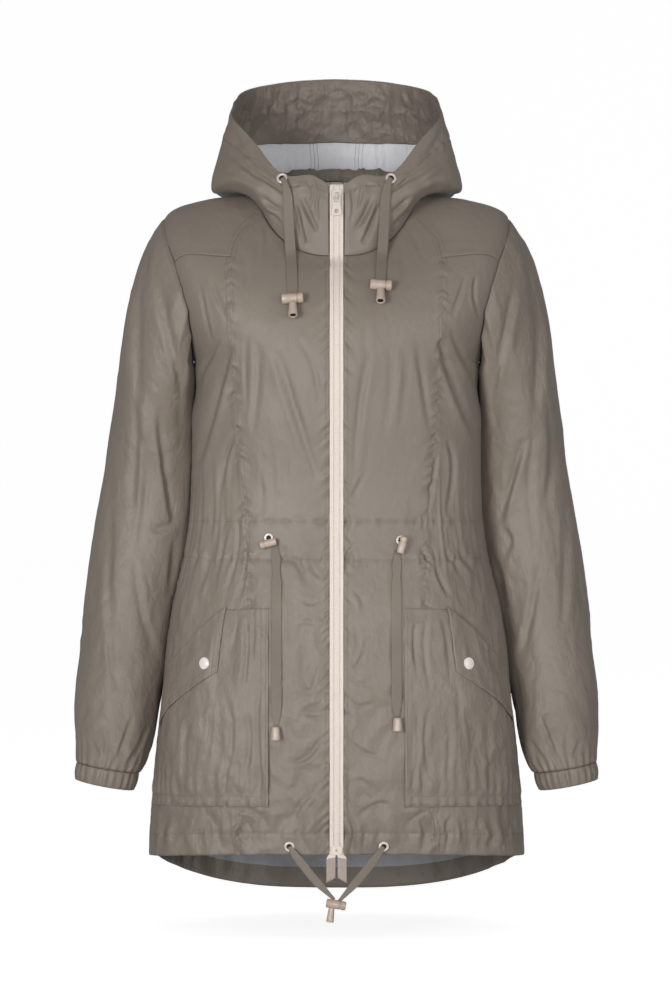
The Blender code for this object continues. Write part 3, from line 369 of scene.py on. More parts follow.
def smooth_curve(at, knots, values):
    """Read a smooth curve that passes through the values at the knots."""
    at = np.asarray(at, dtype=float)
    slopes = np.gradient(values, knots)
    spot = np.clip(np.searchsorted(knots, at) - 1, 0, len(knots) - 2)
    span = knots[spot + 1] - knots[spot]
    share = (at - knots[spot]) / span
    return hermite(share, values[spot], span * slopes[spot], values[spot + 1], span * slopes[spot + 1])


def unit(vectors):
    """Scale vectors to length one."""
    return vectors / np.linalg.norm(vectors, axis=-1, keepdims=True)


def surface_normal(surface, first, second):
    """Work out a form's outward direction from small steps over it."""
    step = 1e-4
    along = surface(first + step, second) - surface(first - step, second)
    across = surface(first, second + step) - surface(first, second - step)
    return unit(np.cross(along, across))


def torso(angle, level):
    """Give the point of the torso at an angle from centre front, on the ring of a level."""
    angle, level = np.broadcast_arrays(np.asarray(angle, dtype=float), np.asarray(level, dtype=float))
    size = {name: smooth_curve(level, TORSO["front"], TORSO[name]) for name in TORSO}
    sine, cosine = np.sin(angle), np.cos(angle)
    swell = 1 + PLAN_SWELL * np.sin(2 * angle) ** 2
    depth = np.where(cosine > 0, size["front_depth"], size["back_depth"])
    middle = np.where(cosine > 0, level, size["back"])
    side_share = np.abs(sine) ** HEIGHT_BLEND
    height = middle * (1 - side_share) + size["side"] * side_share
    return np.stack((size["half_width"] * sine * swell, -depth * cosine * swell, height), axis=-1)


def angle_at(out, level):
    """Find the front angle at which a ring is a given distance out from the centre."""
    level = np.asarray(level, dtype=float)
    low = np.zeros_like(level)
    high = np.full_like(level, math.pi / 2)
    for _ in range(40):
        middle = (low + high) / 2
        short = torso(middle, level)[..., 0] < out
        low = np.where(short, middle, low)
        high = np.where(short, high, middle)
    return low


def front_spot(out, height):
    """Find the angle and level of the front point at a distance out and a height."""
    low, high = HEM, NECK
    for _ in range(40):
        level = (low + high) / 2
        if torso(angle_at(out, level), level)[2] < height:
            low = level
        else:
            high = level
    return float(angle_at(out, level)), level


def hood(angle, share):
    """Give the point of the hood at an angle round the neck, a share of the way up to the rim."""
    angle, share = np.broadcast_arrays(np.asarray(angle, dtype=float), np.asarray(share, dtype=float))
    knots = np.linspace(0, 1, len(HOOD_POINTS))
    degrees = 180 - np.abs(180 - np.degrees(angle))
    steps = {}
    for way in ("out", "up"):
        rows = [np.zeros_like(degrees)]
        for point in HOOD_POINTS[1:]:
            rows.append(smooth_curve(degrees, HOOD["angle"], HOOD[point + "_" + way]))
        steps[way] = curve_through(share, knots, np.stack(rows))
    seam = torso(angle, np.full_like(angle, NECK))
    outward = np.stack((np.sin(angle), -np.cos(angle), np.zeros_like(angle)), axis=-1)
    upward = np.array((0.0, 0.0, 1.0))
    return seam + outward * steps["out"][..., None] + upward * steps["up"][..., None]


def curve_through(share, knots, rows):
    """Read at each share the smooth curve through its own column of rows."""
    slopes = np.gradient(rows, knots, axis=0)
    spot = np.clip(np.searchsorted(knots, share) - 1, 0, len(knots) - 2)
    span = knots[1] - knots[0]
    local = (share - knots[spot]) / span

    def pick(values, index):
        return np.take_along_axis(values, index[None], axis=0)[0]

    start, end = pick(rows, spot), pick(rows, spot + 1)
    return hermite(local, start, span * pick(slopes, spot), end, span * pick(slopes, spot + 1))


def ruled(inner, outer, columns):
    """Rule rows of angle and level from an inner edge to an outer one."""
    share = np.linspace(0, 1, columns)[None, :, None]
    return inner[:, None, :] * (1 - share) + outer[:, None, :] * share


def pairs(angles, levels):
    """Join angles and levels into the points of an edge."""
    return np.stack(np.broadcast_arrays(angles, levels), axis=-1).astype(float)


def princess_out(level):
    """Give how far out the princess seam runs at some levels."""
    return np.interp(level, PRINCESS["level"], PRINCESS["out"])


def princess_edge(levels):
    """Give the princess seam's points at some levels."""
    return pairs(angle_at(princess_out(levels), levels), levels)


def armhole_edge(way):
    """Give the armhole's points from underarm to shoulder tip: way -1 in front, 1 behind."""
    return pairs(math.pi / 2 + way * np.radians(ARMHOLE["spread"]), ARMHOLE["level"])


def princess_upper_levels():
    """Give the princess seam's levels beside the armhole rows, from underarm to yoke."""
    return np.linspace(UNDERARM, YOKE_PRINCESS_LEVEL, YOKE_ARMHOLE_ROW + 1)[1:]


def yoke_inner_edge(count):
    """Give the yoke seam's points from the top of the princess seam to the neck."""
    start = princess_edge(np.array([YOKE_PRINCESS_LEVEL]))[0]
    end = np.array((YOKE_NECK_ANGLE, NECK))
    share = np.linspace(0, 1, count)[:, None]
    return start * (1 - share) + end * share


def seam_start(edge, normal, into_hole, heading):
    """Give the first points of a piece that leaves a seam along a heading, clear of the seam's edge."""
    along = np.sum(heading * into_hole, axis=-1)
    away = np.sum(heading * normal, axis=-1)
    fold = np.clip(np.arctan2(away, along), 0, None)[:, None]
    return edge + SEAM_GAP * (np.cos(fold / 2) * into_hole + np.sin(fold / 2) * normal)


def edge_frame(spots):
    """Give the points of a torso edge loop, its outward normals and its directions into the hole."""
    points = torso(spots[:, 0], spots[:, 1])
    normal = surface_normal(torso, spots[:, 0], spots[:, 1])
    tangent = unit(np.roll(points, -1, axis=0) - np.roll(points, 1, axis=0))
    into_hole = unit(np.cross(normal, tangent))
    toward_centre = points.mean(axis=0) - points
    flip = np.sign(np.sum(into_hole * toward_centre, axis=-1, keepdims=True))
    return points, normal, into_hole * flip


def pocket_top(angles):
    """Give the level of the pocket's top edge at some angles."""
    return np.interp(np.degrees(angles), POCKET_TOP["angle"], POCKET_TOP["level"])


def pocket_puff(angles, levels):
    """Give how far the pocket swells off the torso, in its middle the most."""
    start = angle_at(POCKET_INNER, np.array(POCKET_BOTTOM_LEVEL))
    across = np.clip((angles - start) / (POCKET_OUTER_ANGLE - start), 0, 1)
    rise = np.clip((levels - POCKET_BOTTOM_LEVEL) / (pocket_top(angles) - POCKET_BOTTOM_LEVEL), 0, 1)
    return POCKET_PUFF * np.sin(np.pi * across) * np.sin(np.pi * rise)


def flap_lift(angles, levels):
    """Give how far the flap stands off the torso, clear of the pocket under it."""
    return pocket_puff(angles, levels) + PATCH_WALL + LIE_GAP + FLAP_CLEAR


def zip_path():
    """Give the zip's path up the front, as the y and z of points on its outer face."""
    levels = np.concatenate((LOWER_LEVELS, np.linspace(UNDERARM, NECK, 8)[1:]))
    body = torso(0.0, levels)
    collar = hood(np.full(6, HOOD_START), np.linspace(0, 1, 6))[1:]
    tail = body[:1] - np.array((0.0, 0.0, TAPE_TAIL))
    return np.concatenate((tail, body, collar))[:, 1:]


def smooth_route(place, side):
    """Read evenly spaced points, and the facing at each, from a smooth curve through a cord's route."""
    rows = np.array(ROUTES[place, side])
    distance = distance_along(rows[:, :3])
    at = np.linspace(0, distance[-1], CORD_ROWS)
    columns = [smooth_curve(at, distance, rows[:, part]) for part in range(len(ROUTE_COLUMNS))]
    points = np.stack(columns[:3], axis=-1) * (side, 1, 1)
    facing = side * np.radians(columns[3])
    return points, np.stack((np.sin(facing), -np.cos(facing), np.zeros_like(facing)), axis=-1)


def cord_frame(place, side):
    """Give a cord's points with its directions along, across and out of the tape."""
    points, out = smooth_route(place, side)
    along = unit(np.gradient(points, axis=0))
    across = unit(np.cross(along, out))
    return points, along, across, np.cross(across, along)


def seen(points):
    """Give the place in the picture, in pixels, at which the camera sees some points."""
    reach = (points[..., 1] + EYE_BACK) / EYE_BACK
    across = PICTURE_MIDDLE[0] + points[..., 0] / reach / PIXEL
    down = PICTURE_MIDDLE[1] - (points[..., 2] - EYE_HEIGHT) / reach / PIXEL
    return np.stack((across, down), axis=-1)


def seen_from_behind(points):
    """Give the place, in pixels of the same size, in a level view from behind."""
    across = PICTURE_MIDDLE[0] - points[..., 0] / PIXEL
    down = PICTURE_MIDDLE[1] - (points[..., 2] - EYE_HEIGHT) / PIXEL
    return np.stack((across, down), axis=-1)


def lattice(cells, seed):
    """Give each cell of a lattice its own fixed value between -1 and 1."""
    mixed = cells[..., 0] * 374761393 + cells[..., 1] * 668265263 + cells[..., 2] * 2147483647
    mixed = mixed + seed * 1274126177
    mixed = (mixed ^ (mixed >> 13)) * 1274126177
    return ((mixed ^ (mixed >> 16)) & 0xFFFF) / 32767.5 - 1


def noise(places, seed):
    """Read a smooth random field, with one swell in about two steps, at places of three columns."""
    base = np.floor(places).astype(np.int64)
    part = places - base
    ease = part * part * (3 - 2 * part)
    total = np.zeros(places.shape[:-1])
    for corner in np.ndindex(2, 2, 2):
        weight = np.prod(np.where(corner, ease, 1 - ease), axis=-1)
        total += weight * lattice(base + np.array(corner), seed)
    return total


def line_noise(along, seed):
    """Read a smooth random curve at some distances along it."""
    return noise(np.stack((along, np.full_like(along, 0.5), np.full_like(along, 0.5)), axis=-1), seed)


def ease_in(value, low, high):
    """Rise smoothly from 0 at a low value to 1 at a high one."""
    share = np.clip((value - low) / (high - low), 0, 1)
    return share * share * (3 - 2 * share)


def round_run(angle, radius):
    """Give a distance round the torso that meets itself behind and differs between the two sides."""
    turned_angle = front_angle(angle)
    return radius * (np.abs(turned_angle) + 0.35 * np.sin(turned_angle))


def crease_relief(places, facing, creases):
    """Add up soft troughs and ridges, each a bent line in the picture with a width and a depth.

    A crease with lean has one side raised and the other sunk, as where cloth hangs over itself.
    """
    relief = np.zeros(places.shape[:-1])
    for x0, y0, x1, y1, x2, y2, width, depth, lean in creases:
        share = np.linspace(0, 1, 13)[:, None]
        middle = 2 * np.array((x1, y1)) - (np.array((x0, y0)) + np.array((x2, y2))) / 2
        line = (1 - share) ** 2 * np.array((x0, y0)) + 2 * share * (1 - share) * middle
        line = line + share ** 2 * np.array((x2, y2))
        reach = 4 * width
        low = line.min(axis=0) - reach
        high = line.max(axis=0) + reach
        near = np.all((places > low) & (places < high), axis=-1) & (facing > 0)
        spots = places[near]
        if not len(spots):
            continue
        best = np.full(len(spots), np.inf)
        signed = np.zeros(len(spots))
        progress = np.zeros(len(spots))
        for step in range(len(line) - 1):
            run = line[step + 1] - line[step]
            length = np.linalg.norm(run)
            offset = spots - line[step]
            along = np.clip(offset @ run / length ** 2, 0, 1)
            gap = offset - along[:, None] * run
            far = np.linalg.norm(gap, axis=-1)
            closer = far < best
            best = np.where(closer, far, best)
            turn = np.sign(run[0] * offset[:, 1] - run[1] * offset[:, 0])
            signed = np.where(closer, far * turn, signed)
            progress = np.where(closer, (step + along) / (len(line) - 1), progress)
        across = signed / (CREASE_SLIM * width)
        taper = np.sin(np.pi * np.clip(progress, 0, 1)) ** 0.7
        shape = (0.55 * across ** 2 - 1) * np.exp(-across ** 2 / 1.7)
        shape = shape + lean * across * np.exp(-across ** 2 / 2.6)
        relief[near] += CREASE_GAIN * depth * taper * shape * facing[near]
    return relief


def seam_pucker(across, along, reach, pitch, depth, tilt, seed):
    """Give the small uneven puckers beside a seam, strongest at the seam."""
    places = np.stack(((along + tilt * np.abs(across)) / pitch, across / (2.5 * reach), 0 * along), axis=-1)
    return depth * np.exp(-(across / reach) ** 2) * noise(places, seed)


def wrinkles(points, size, stretch, seed):
    """Give fine irregular wrinkles as sharp-edged noise, drawn out along the height."""
    scaled = points / (size, size, size * stretch)
    bent = scaled + 0.7 * noise(scaled * 0.6, seed + 1)[..., None]
    return 0.4 - np.abs(noise(bent, seed)) * 1.6


def mirrored(rows, shift):
    """Mirror creases in the picture's middle and shift them sideways."""
    middle = 2 * PICTURE_MIDDLE[0] + shift
    return tuple(
        (middle - x0, y0, middle - x1, y1, middle - x2, y2, width, depth, -lean)
        for x0, y0, x1, y1, x2, y2, width, depth, lean in rows)


# Creases as bent lines in the picture: start, middle and end in pixels across and down,
# half width in pixels, depth in metres, and lean
FRONT_CREASES_RIGHT = (
    (275, 350, 291, 402, 317, 480, 4.6, 0.0030, 0.6),
    (297, 340, 313, 368, 318, 408, 3.0, 0.0016, 0.5),
    (256, 342, 257, 375, 252, 436, 4.2, 0.0018, 0.3),
    (246, 335, 245, 372, 247, 410, 2.6, 0.0010, 0.2),
    (231, 345, 218, 398, 200, 470, 5.0, 0.0034, -0.6),
    (219, 340, 208, 362, 201, 390, 4.0, 0.0018, -0.4),
    (235, 438, 226, 457, 220, 500, 3.4, 0.0024, -0.5),
    (261.5, 448, 261.5, 485, 262.5, 528, 1.3, 0.0012, 0.0),
    (284, 448, 285, 468, 286, 492, 3.2, 0.0010, 0.3),
    (270, 430, 272, 470, 274, 515, 3.0, 0.0009, -0.3),
    (266, 228, 266, 244, 261, 292, 3.2, 0.0016, 0.4),
    (259, 238, 257, 256, 254, 285, 2.8, 0.0012, 0.2),
    (247, 262, 246, 290, 247, 318, 3.4, 0.0009, 0.0),
    (276, 250, 277, 268, 274, 292, 3.0, 0.0012, 0.3),
    (210, 276, 218, 300, 228, 322, 3.4, 0.0012, 0.3),
    (200, 286, 206, 318, 212, 342, 3.0, 0.0014, -0.3),
    (283, 543, 288, 550, 289, 560, 2.4, 0.0014, 0.6),
    (287, 558, 298, 567, 306, 588, 3.0, 0.0022, 0.6),
    (238, 520, 236, 556, 225, 592, 2.6, 0.0018, 0.3),
    (247, 545, 246, 566, 240, 596, 2.2, 0.0013, -0.3),
    (216, 530, 211, 554, 203, 585, 2.8, 0.0018, 0.3),
    (228, 524, 224, 545, 216, 576, 2.4, 0.0016, -0.4),
    (300, 598, 310, 604, 318, 600, 2.4, 0.0012, 0.4),
    (308, 690, 312, 680, 317, 662, 2.6, 0.0016, 0.5),
    (296, 640, 303, 655, 302, 676, 2.6, 0.0012, -0.4),
    (286, 760, 305, 759, 321, 739, 3.0, 0.0024, 0.5),
    (285, 716, 289, 731, 297, 742, 2.8, 0.0018, 0.5),
    (293, 822, 301, 805, 315, 793, 3.0, 0.0020, 0.5),
    (288, 792, 296, 783, 301, 770, 2.8, 0.0014, -0.4),
    (240, 810, 257, 815, 266, 832, 3.0, 0.0022, 0.6),
    (262, 833, 266, 841, 269, 852, 2.2, 0.0016, 0.4),
    (245, 820, 249, 827, 252, 836, 2.2, 0.0014, 0.3),
    (205, 815, 214, 822, 217, 838, 2.8, 0.0016, 0.4),
    (182, 816, 188, 824, 190, 838, 2.6, 0.0014, -0.4),
    (308, 560, 314, 572, 322, 577, 2.6, 0.0014, 0.4),
    (297, 625, 306, 621, 318, 626, 2.4, 0.0012, -0.3),
    (300, 708, 309, 715, 318, 713, 2.4, 0.0013, 0.3),
    (276, 800, 281, 812, 279, 826, 2.6, 0.0012, 0.3),
)
FRONT_CREASES_LEFT = (
    (372, 348, 362, 395, 355, 470, 4.4, 0.0022, -0.5),
    (369, 318, 366, 338, 368, 360, 3.0, 0.0012, -0.3),
    (390, 345, 392, 385, 384, 440, 4.6, 0.0016, -0.3),
    (404, 348, 405, 380, 398, 436, 3.4, 0.0012, 0.3),
    (416, 340, 421, 372, 430, 432, 4.2, 0.0018, 0.4),
    (440, 338, 452, 385, 474, 440, 5.0, 0.0030, 0.6),
    (450, 330, 464, 362, 476, 395, 4.0, 0.0018, 0.5),
    (447, 440, 452, 470, 447, 512, 3.2, 0.0022, 0.4),
    (437, 455, 433, 480, 429, 512, 2.8, 0.0014, -0.3),
    (412, 450, 410, 490, 408, 528, 1.3, 0.0012, 0.0),
    (366, 470, 357, 488, 350, 500, 2.8, 0.0012, 0.3),
    (402, 240, 404, 262, 410, 290, 3.0, 0.0014, -0.3),
    (410, 232, 418, 246, 424, 262, 2.6, 0.0012, 0.3),
    (466, 276, 460, 296, 452, 316, 3.2, 0.0014, -0.4),
    (476, 276, 474, 296, 480, 318, 2.6, 0.0016, 0.4),
    (392, 548, 388, 560, 380, 570, 2.4, 0.0012, -0.4),
    (355, 546, 346, 556, 344, 572, 2.4, 0.0014, 0.4),
    (420, 548, 425, 556, 434, 566, 2.2, 0.0018, 0.6),
    (436, 565, 441, 582, 452, 600, 2.6, 0.0020, 0.5),
    (444, 552, 454, 564, 462, 578, 2.4, 0.0018, 0.5),
    (455, 545, 463, 560, 474, 574, 2.4, 0.0016, 0.4),
    (353, 592, 361, 600, 362, 616, 2.6, 0.0018, 0.5),
    (354, 622, 358, 640, 354, 660, 2.6, 0.0014, -0.4),
    (366, 640, 360, 660, 352, 668, 2.4, 0.0014, 0.4),
    (350, 700, 362, 706, 376, 700, 2.6, 0.0016, -0.4),
    (352, 742, 364, 752, 381, 756, 2.8, 0.0020, -0.5),
    (356, 780, 368, 786, 376, 800, 2.8, 0.0016, 0.4),
    (358, 818, 372, 806, 390, 804, 2.8, 0.0018, -0.4),
    (428, 812, 416, 818, 408, 832, 2.8, 0.0020, -0.5),
    (404, 834, 401, 842, 400, 852, 2.2, 0.0014, -0.3),
    (452, 816, 446, 826, 446, 838, 2.6, 0.0014, 0.3),
    (482, 816, 478, 826, 480, 838, 2.6, 0.0014, -0.3),
    (352, 676, 358, 684, 372, 684, 2.4, 0.0012, 0.3),
)
FRONT_CREASES = FRONT_CREASES_RIGHT + FRONT_CREASES_LEFT
POCKET_CREASES = (
    (246, 618, 247, 660, 241, 694, 3.6, 0.0018, 0.4),
    (255, 610, 254, 640, 253, 668, 2.6, 0.0012, -0.3),
    (238, 616, 236, 634, 232, 652, 2.6, 0.0012, 0.3),
    (219, 676, 213, 722, 208, 788, 1.7, 0.0016, 0.3),
    (230, 700, 234, 740, 226, 782, 3.4, 0.0014, -0.4),
    (244, 706, 250, 742, 244, 780, 3.6, 0.0014, 0.3),
    (260, 690, 258, 730, 262, 786, 3.0, 0.0012, -0.3),
    (190, 720, 188, 752, 184, 786, 3.4, 0.0012, 0.3),
    (227, 778, 233, 784, 228, 796, 2.2, 0.0018, 0.5),
    (428, 612, 424, 650, 430, 690, 3.4, 0.0016, -0.4),
    (414, 620, 414, 650, 417, 680, 2.6, 0.0012, 0.3),
    (440, 616, 446, 650, 447, 690, 2.8, 0.0014, 0.3),
    (455, 690, 460, 730, 464, 788, 1.7, 0.0014, -0.3),
    (430, 704, 424, 740, 432, 784, 3.4, 0.0014, 0.4),
    (414, 700, 418, 742, 412, 786, 3.2, 0.0012, -0.3),
    (446, 720, 448, 752, 442, 788, 3.0, 0.0014, 0.3),
    (484, 720, 487, 752, 490, 786, 3.4, 0.0012, -0.3),
)
SLEEVE_CREASES_RIGHT = (
    (139, 276, 136, 336, 138, 402, 6.0, 0.0030, 0.5),
    (155, 276, 168, 335, 185, 402, 5.0, 0.0030, 0.5),
    (134, 398, 136, 450, 132, 510, 6.0, 0.0026, -0.4),
    (158, 408, 164, 468, 175, 528, 4.6, 0.0036, 0.7),
    (147, 526, 162, 530, 176, 520, 4.0, 0.0026, 0.7),
    (174, 540, 171, 566, 167, 592, 4.0, 0.0022, 0.5),
    (141, 434, 145, 492, 136, 556, 4.6, 0.0020, 0.5),
    (136, 556, 140, 600, 155, 654, 4.6, 0.0022, -0.4),
    (112, 500, 108, 570, 110, 632, 6.0, 0.0020, 0.3),
    (109, 634, 111, 660, 117, 690, 4.2, 0.0014, 0.3),
    (132, 716, 123, 742, 113, 768, 3.0, 0.0026, 0.5),
    (91, 741, 98, 753, 107, 766, 2.8, 0.0024, -0.5),
    (143, 742, 134, 754, 123, 767, 2.8, 0.0024, 0.5),
    (102, 720, 106, 745, 104, 766, 2.6, 0.0016, 0.3),
    (150, 722, 142, 742, 132, 766, 2.6, 0.0016, -0.3),
    (174, 238, 180, 262, 192, 286, 4.0, 0.0018, 0.4),
    (152, 238, 146, 262, 144, 292, 5.0, 0.0018, -0.3),
)
SLEEVE_CREASES_LEFT = (
    (534, 278, 540, 340, 536, 410, 6.0, 0.0028, -0.5),
    (517, 276, 506, 335, 489, 400, 5.0, 0.0026, -0.5),
    (548, 402, 552, 455, 544, 510, 6.0, 0.0024, 0.4),
    (524, 440, 512, 480, 500, 524, 4.6, 0.0034, -0.7),
    (502, 528, 510, 540, 505, 556, 4.0, 0.0026, -0.6),
    (498, 560, 503, 585, 508, 610, 4.0, 0.0020, -0.4),
    (536, 430, 530, 490, 537, 550, 4.6, 0.0018, -0.4),
    (538, 560, 532, 605, 520, 660, 4.6, 0.0020, 0.4),
    (564, 500, 566, 570, 560, 640, 6.0, 0.0018, -0.3),
    (540, 716, 550, 742, 560, 768, 3.0, 0.0026, -0.5),
    (582, 740, 575, 752, 567, 766, 2.8, 0.0022, 0.5),
    (529, 740, 538, 752, 549, 767, 2.8, 0.0024, -0.5),
    (571, 722, 567, 744, 569, 766, 2.6, 0.0016, -0.3),
    (500, 238, 492, 262, 482, 286, 4.0, 0.0018, -0.4),
    (520, 238, 528, 262, 530, 292, 5.0, 0.0016, 0.3),
)
SLEEVE_CREASES = SLEEVE_CREASES_RIGHT + SLEEVE_CREASES_LEFT
SLEEVE_BACK_CREASES = mirrored(SLEEVE_CREASES_RIGHT, -1.5) + mirrored(SLEEVE_CREASES_LEFT, 1.5)
BACK_CREASES = (
    (300, 240, 290, 300, 282, 370, 6.0, 0.0026, 0.4),
    (372, 238, 384, 300, 390, 372, 6.0, 0.0026, -0.4),
    (246, 300, 256, 360, 262, 430, 5.0, 0.0026, 0.5),
    (428, 296, 420, 360, 412, 432, 5.0, 0.0028, -0.5),
    (206, 320, 216, 380, 232, 440, 5.0, 0.0028, 0.6),
    (466, 322, 456, 380, 440, 440, 5.0, 0.0026, -0.6),
    (316, 400, 312, 450, 316, 510, 4.0, 0.0018, 0.3),
    (356, 396, 362, 450, 356, 512, 4.0, 0.0018, -0.3),
    (336, 560, 330, 620, 338, 690, 5.0, 0.0024, 0.4),
    (296, 562, 286, 630, 280, 720, 5.0, 0.0026, -0.4),
    (380, 560, 390, 630, 392, 716, 5.0, 0.0024, 0.4),
    (246, 562, 230, 640, 222, 740, 5.0, 0.0026, -0.5),
    (430, 560, 446, 640, 450, 742, 5.0, 0.0026, 0.5),
    (316, 700, 322, 770, 312, 830, 4.6, 0.0020, 0.4),
    (360, 706, 352, 766, 362, 836, 4.6, 0.0020, -0.4),
    (262, 740, 270, 790, 258, 838, 4.2, 0.0018, 0.4),
    (412, 744, 402, 796, 414, 842, 4.2, 0.0018, -0.4),
    (196, 600, 188, 680, 176, 760, 5.0, 0.0022, 0.4),
    (478, 604, 486, 680, 498, 760, 5.0, 0.0022, -0.4),
)
HOOD_CREASES = (
    (300, 196, 308, 214, 317, 232, 3.2, 0.0030, 0.7),
    (296, 205, 300, 224, 305, 244, 3.4, 0.0032, -0.6),
    (310, 184, 312, 196, 306, 208, 2.4, 0.0018, 0.4),
    (320, 188, 317, 204, 318, 222, 2.4, 0.0016, -0.3),
    (262, 178, 274, 186, 284, 194, 2.6, 0.0020, 0.5),
    (262, 196, 270, 205, 281, 210, 3.0, 0.0026, 0.5),
    (264, 212, 272, 216, 280, 224, 3.0, 0.0020, -0.4),
    (250, 170, 264, 178, 278, 188, 3.0, 0.0016, -0.4),
    (226, 150, 244, 166, 262, 180, 5.0, 0.0022, 0.4),
    (222, 170, 240, 176, 258, 186, 4.0, 0.0016, 0.3),
    (232, 126, 240, 146, 256, 160, 5.0, 0.0018, -0.3),
    (373, 196, 366, 214, 355, 230, 3.2, 0.0030, -0.7),
    (378, 204, 371, 224, 362, 244, 3.4, 0.0030, 0.6),
    (362, 184, 361, 198, 356, 212, 2.4, 0.0018, -0.4),
    (350, 188, 353, 204, 350, 224, 2.4, 0.0014, 0.3),
    (410, 176, 400, 186, 390, 192, 2.6, 0.0020, -0.5),
    (410, 196, 402, 206, 391, 212, 3.0, 0.0026, -0.5),
    (408, 214, 400, 219, 392, 228, 3.0, 0.0020, 0.4),
    (424, 168, 410, 178, 396, 187, 3.0, 0.0016, 0.4),
    (448, 150, 430, 166, 412, 180, 5.0, 0.0020, -0.4),
    (452, 170, 434, 178, 416, 186, 4.0, 0.0016, -0.3),
    (442, 126, 434, 146, 418, 160, 5.0, 0.0018, 0.3),
)
HOOD_INSIDE_CREASES = (
    (262, 100, 270, 114, 272, 132, 4.0, 0.0018, 0.3),
    (284, 92, 288, 112, 284, 136, 4.0, 0.0016, -0.3),
    (330, 90, 334, 108, 330, 130, 4.0, 0.0014, 0.3),
    (352, 92, 350, 110, 354, 134, 4.0, 0.0014, -0.3),
    (392, 92, 388, 112, 392, 136, 4.0, 0.0018, 0.3),
    (414, 100, 406, 114, 404, 132, 4.0, 0.0016, -0.3),
)
HOOD_BACK_CREASES = (
    (296, 110, 290, 150, 300, 190, 5.0, 0.0022, 0.4),
    (376, 112, 384, 150, 374, 190, 5.0, 0.0022, -0.4),
    (258, 120, 262, 150, 278, 180, 5.0, 0.0020, 0.4),
    (416, 122, 410, 152, 396, 180, 5.0, 0.0020, -0.4),
    (336, 120, 332, 154, 338, 190, 5.0, 0.0016, 0.3),
)


def gather_share(level):
    """Give how strong the waist gathers are at some levels."""
    return np.interp(level, WAIST_GATHER["level"], WAIST_GATHER["depth"])


def waist_gathers(angle, level):
    """Give the waist gathers: full at the sides and the back, none at centre front."""
    turned_angle = np.abs(front_angle(angle))
    spread = ease_in(turned_angle, math.radians(36), math.radians(48))
    run = round_run(angle, 36)
    drift = 0.9 * line_noise(level / 0.045 + 1.5 * np.sin(angle), 71)
    folds = line_noise(run + drift, 72) + 0.6 * line_noise(1.9 * run - drift, 73)
    return 1.5 * spread * gather_share(level) * folds


def casing_puckers(points, angle):
    """Give the short puckers that sit on the two stitch rows of the waist casing."""
    run = round_run(angle, 0.15)
    relief = np.zeros(angle.shape)
    for row, seed in zip(WAIST_ROWS, (81, 82)):
        relief += seam_pucker(points[..., 2] - row, run, 0.0075, 0.0042, 0.0019, 0.3, seed)
        relief -= 0.0012 * np.exp(-((points[..., 2] - row) / 0.0013) ** 2)
    return relief


def torso_relief(angle, level, points, normal):
    """Add up everything that creases the torso's cloth."""
    front = ease_in(-normal[..., 1], 0.05, 0.45)
    behind = ease_in(normal[..., 1], 0.05, 0.45)
    relief = crease_relief(seen(points), front, FRONT_CREASES)
    relief += crease_relief(seen_from_behind(points), behind, BACK_CREASES)
    side = np.abs(points[..., 0])
    princess = (side - princess_out(level)) * front
    on_front = (points[..., 1] < 0) & (level < YOKE_PRINCESS_LEVEL)
    way = np.where(points[..., 0] > 0, 0.0, 7.3)
    puckers = seam_pucker(princess, points[..., 2] + way, 0.0068, 0.0042, 0.0021, 0.6, 31)
    relief += puckers * on_front * front
    zip_gap = (side - ZIP_HALF) * front
    zip_puckers = seam_pucker(zip_gap, points[..., 2] + way, 0.011, 0.0048, 0.0017, 0.9, 33)
    relief += zip_puckers * (points[..., 1] < 0)
    over_hem = points[..., 2] - (torso(angle, np.full_like(level, HEM))[..., 2])
    hem_row = over_hem - (HEM_ROW - HEM)
    run = round_run(angle, 0.18)
    relief += seam_pucker(hem_row, run, 0.017, 0.0046, 0.0032, 0.25, 35)
    relief -= 0.0012 * np.exp(-(hem_row / 0.0014) ** 2)
    relief += casing_puckers(points, angle)
    lower = ease_in(-points[..., 2], 0.40, 0.52)
    broad = 0.45 + 0.55 * np.maximum(front, behind)
    relief += (0.0003 + 0.0020 * lower) * broad * wrinkles(points, 0.017, 1.4, 41)
    relief += (0.0005 + 0.0008 * lower) * broad * wrinkles(points, 0.034, 2.6, 43)
    relief = relief * (1 - 0.85 * np.exp(-((np.abs(normal[..., 0]) - 1) / 0.05) ** 2))
    relief += waist_gathers(angle, level)
    return relief * quiet_edges(angle, level) * (1 - 0.8 * pocket_cover(angle, level))


def quiet_edges(angle, level):
    """Fade the creases out at the armhole and the neck, where other forms join the torso."""
    turned_angle = np.abs(front_angle(angle))
    spread = np.radians(np.interp(level, ARMHOLE["level"], ARMHOLE["spread"]))
    gap = np.abs(turned_angle - math.pi / 2) - spread
    beside = np.where(level < UNDERARM, 1.0, ease_in(gap * 0.17, 0.0, 0.012))
    under = ease_in(UNDERARM - level, 0.0, 0.010)
    beside = np.where((level < UNDERARM) & (np.abs(turned_angle - math.pi / 2) < 0.25), under, beside)
    return beside * ease_in(NECK - level, 0.0, 0.006)


def underarm_press(points, toward):
    """Give how far the cloth under the arm swells towards what lies beside it there."""
    bottom, full_bottom, full_top, top = PRESS_HEIGHT
    height = points[..., 2]
    beside = ease_in(height, bottom, full_bottom) * ease_in(-height, -top, -full_top)
    return UNDERARM_PRESS * beside * ease_in(toward, 0.60, 0.92)


def torso_surface(angle, level):
    """Give the creased torso's points and their outward directions."""
    points = torso(angle, level)
    normal = surface_normal(torso, angle, level)
    relief = torso_relief(angle, level, points, normal)
    relief += underarm_press(points, np.abs(normal[..., 0])) * (level < UNDERARM)
    return points + normal * relief[..., None], normal


def spread_shares(count, draw):
    """Give shares from 0 to 1 that lie closer together near both ends."""
    even = np.linspace(0, 1, count)
    return even - draw * np.sin(2 * np.pi * even) / (2 * np.pi)


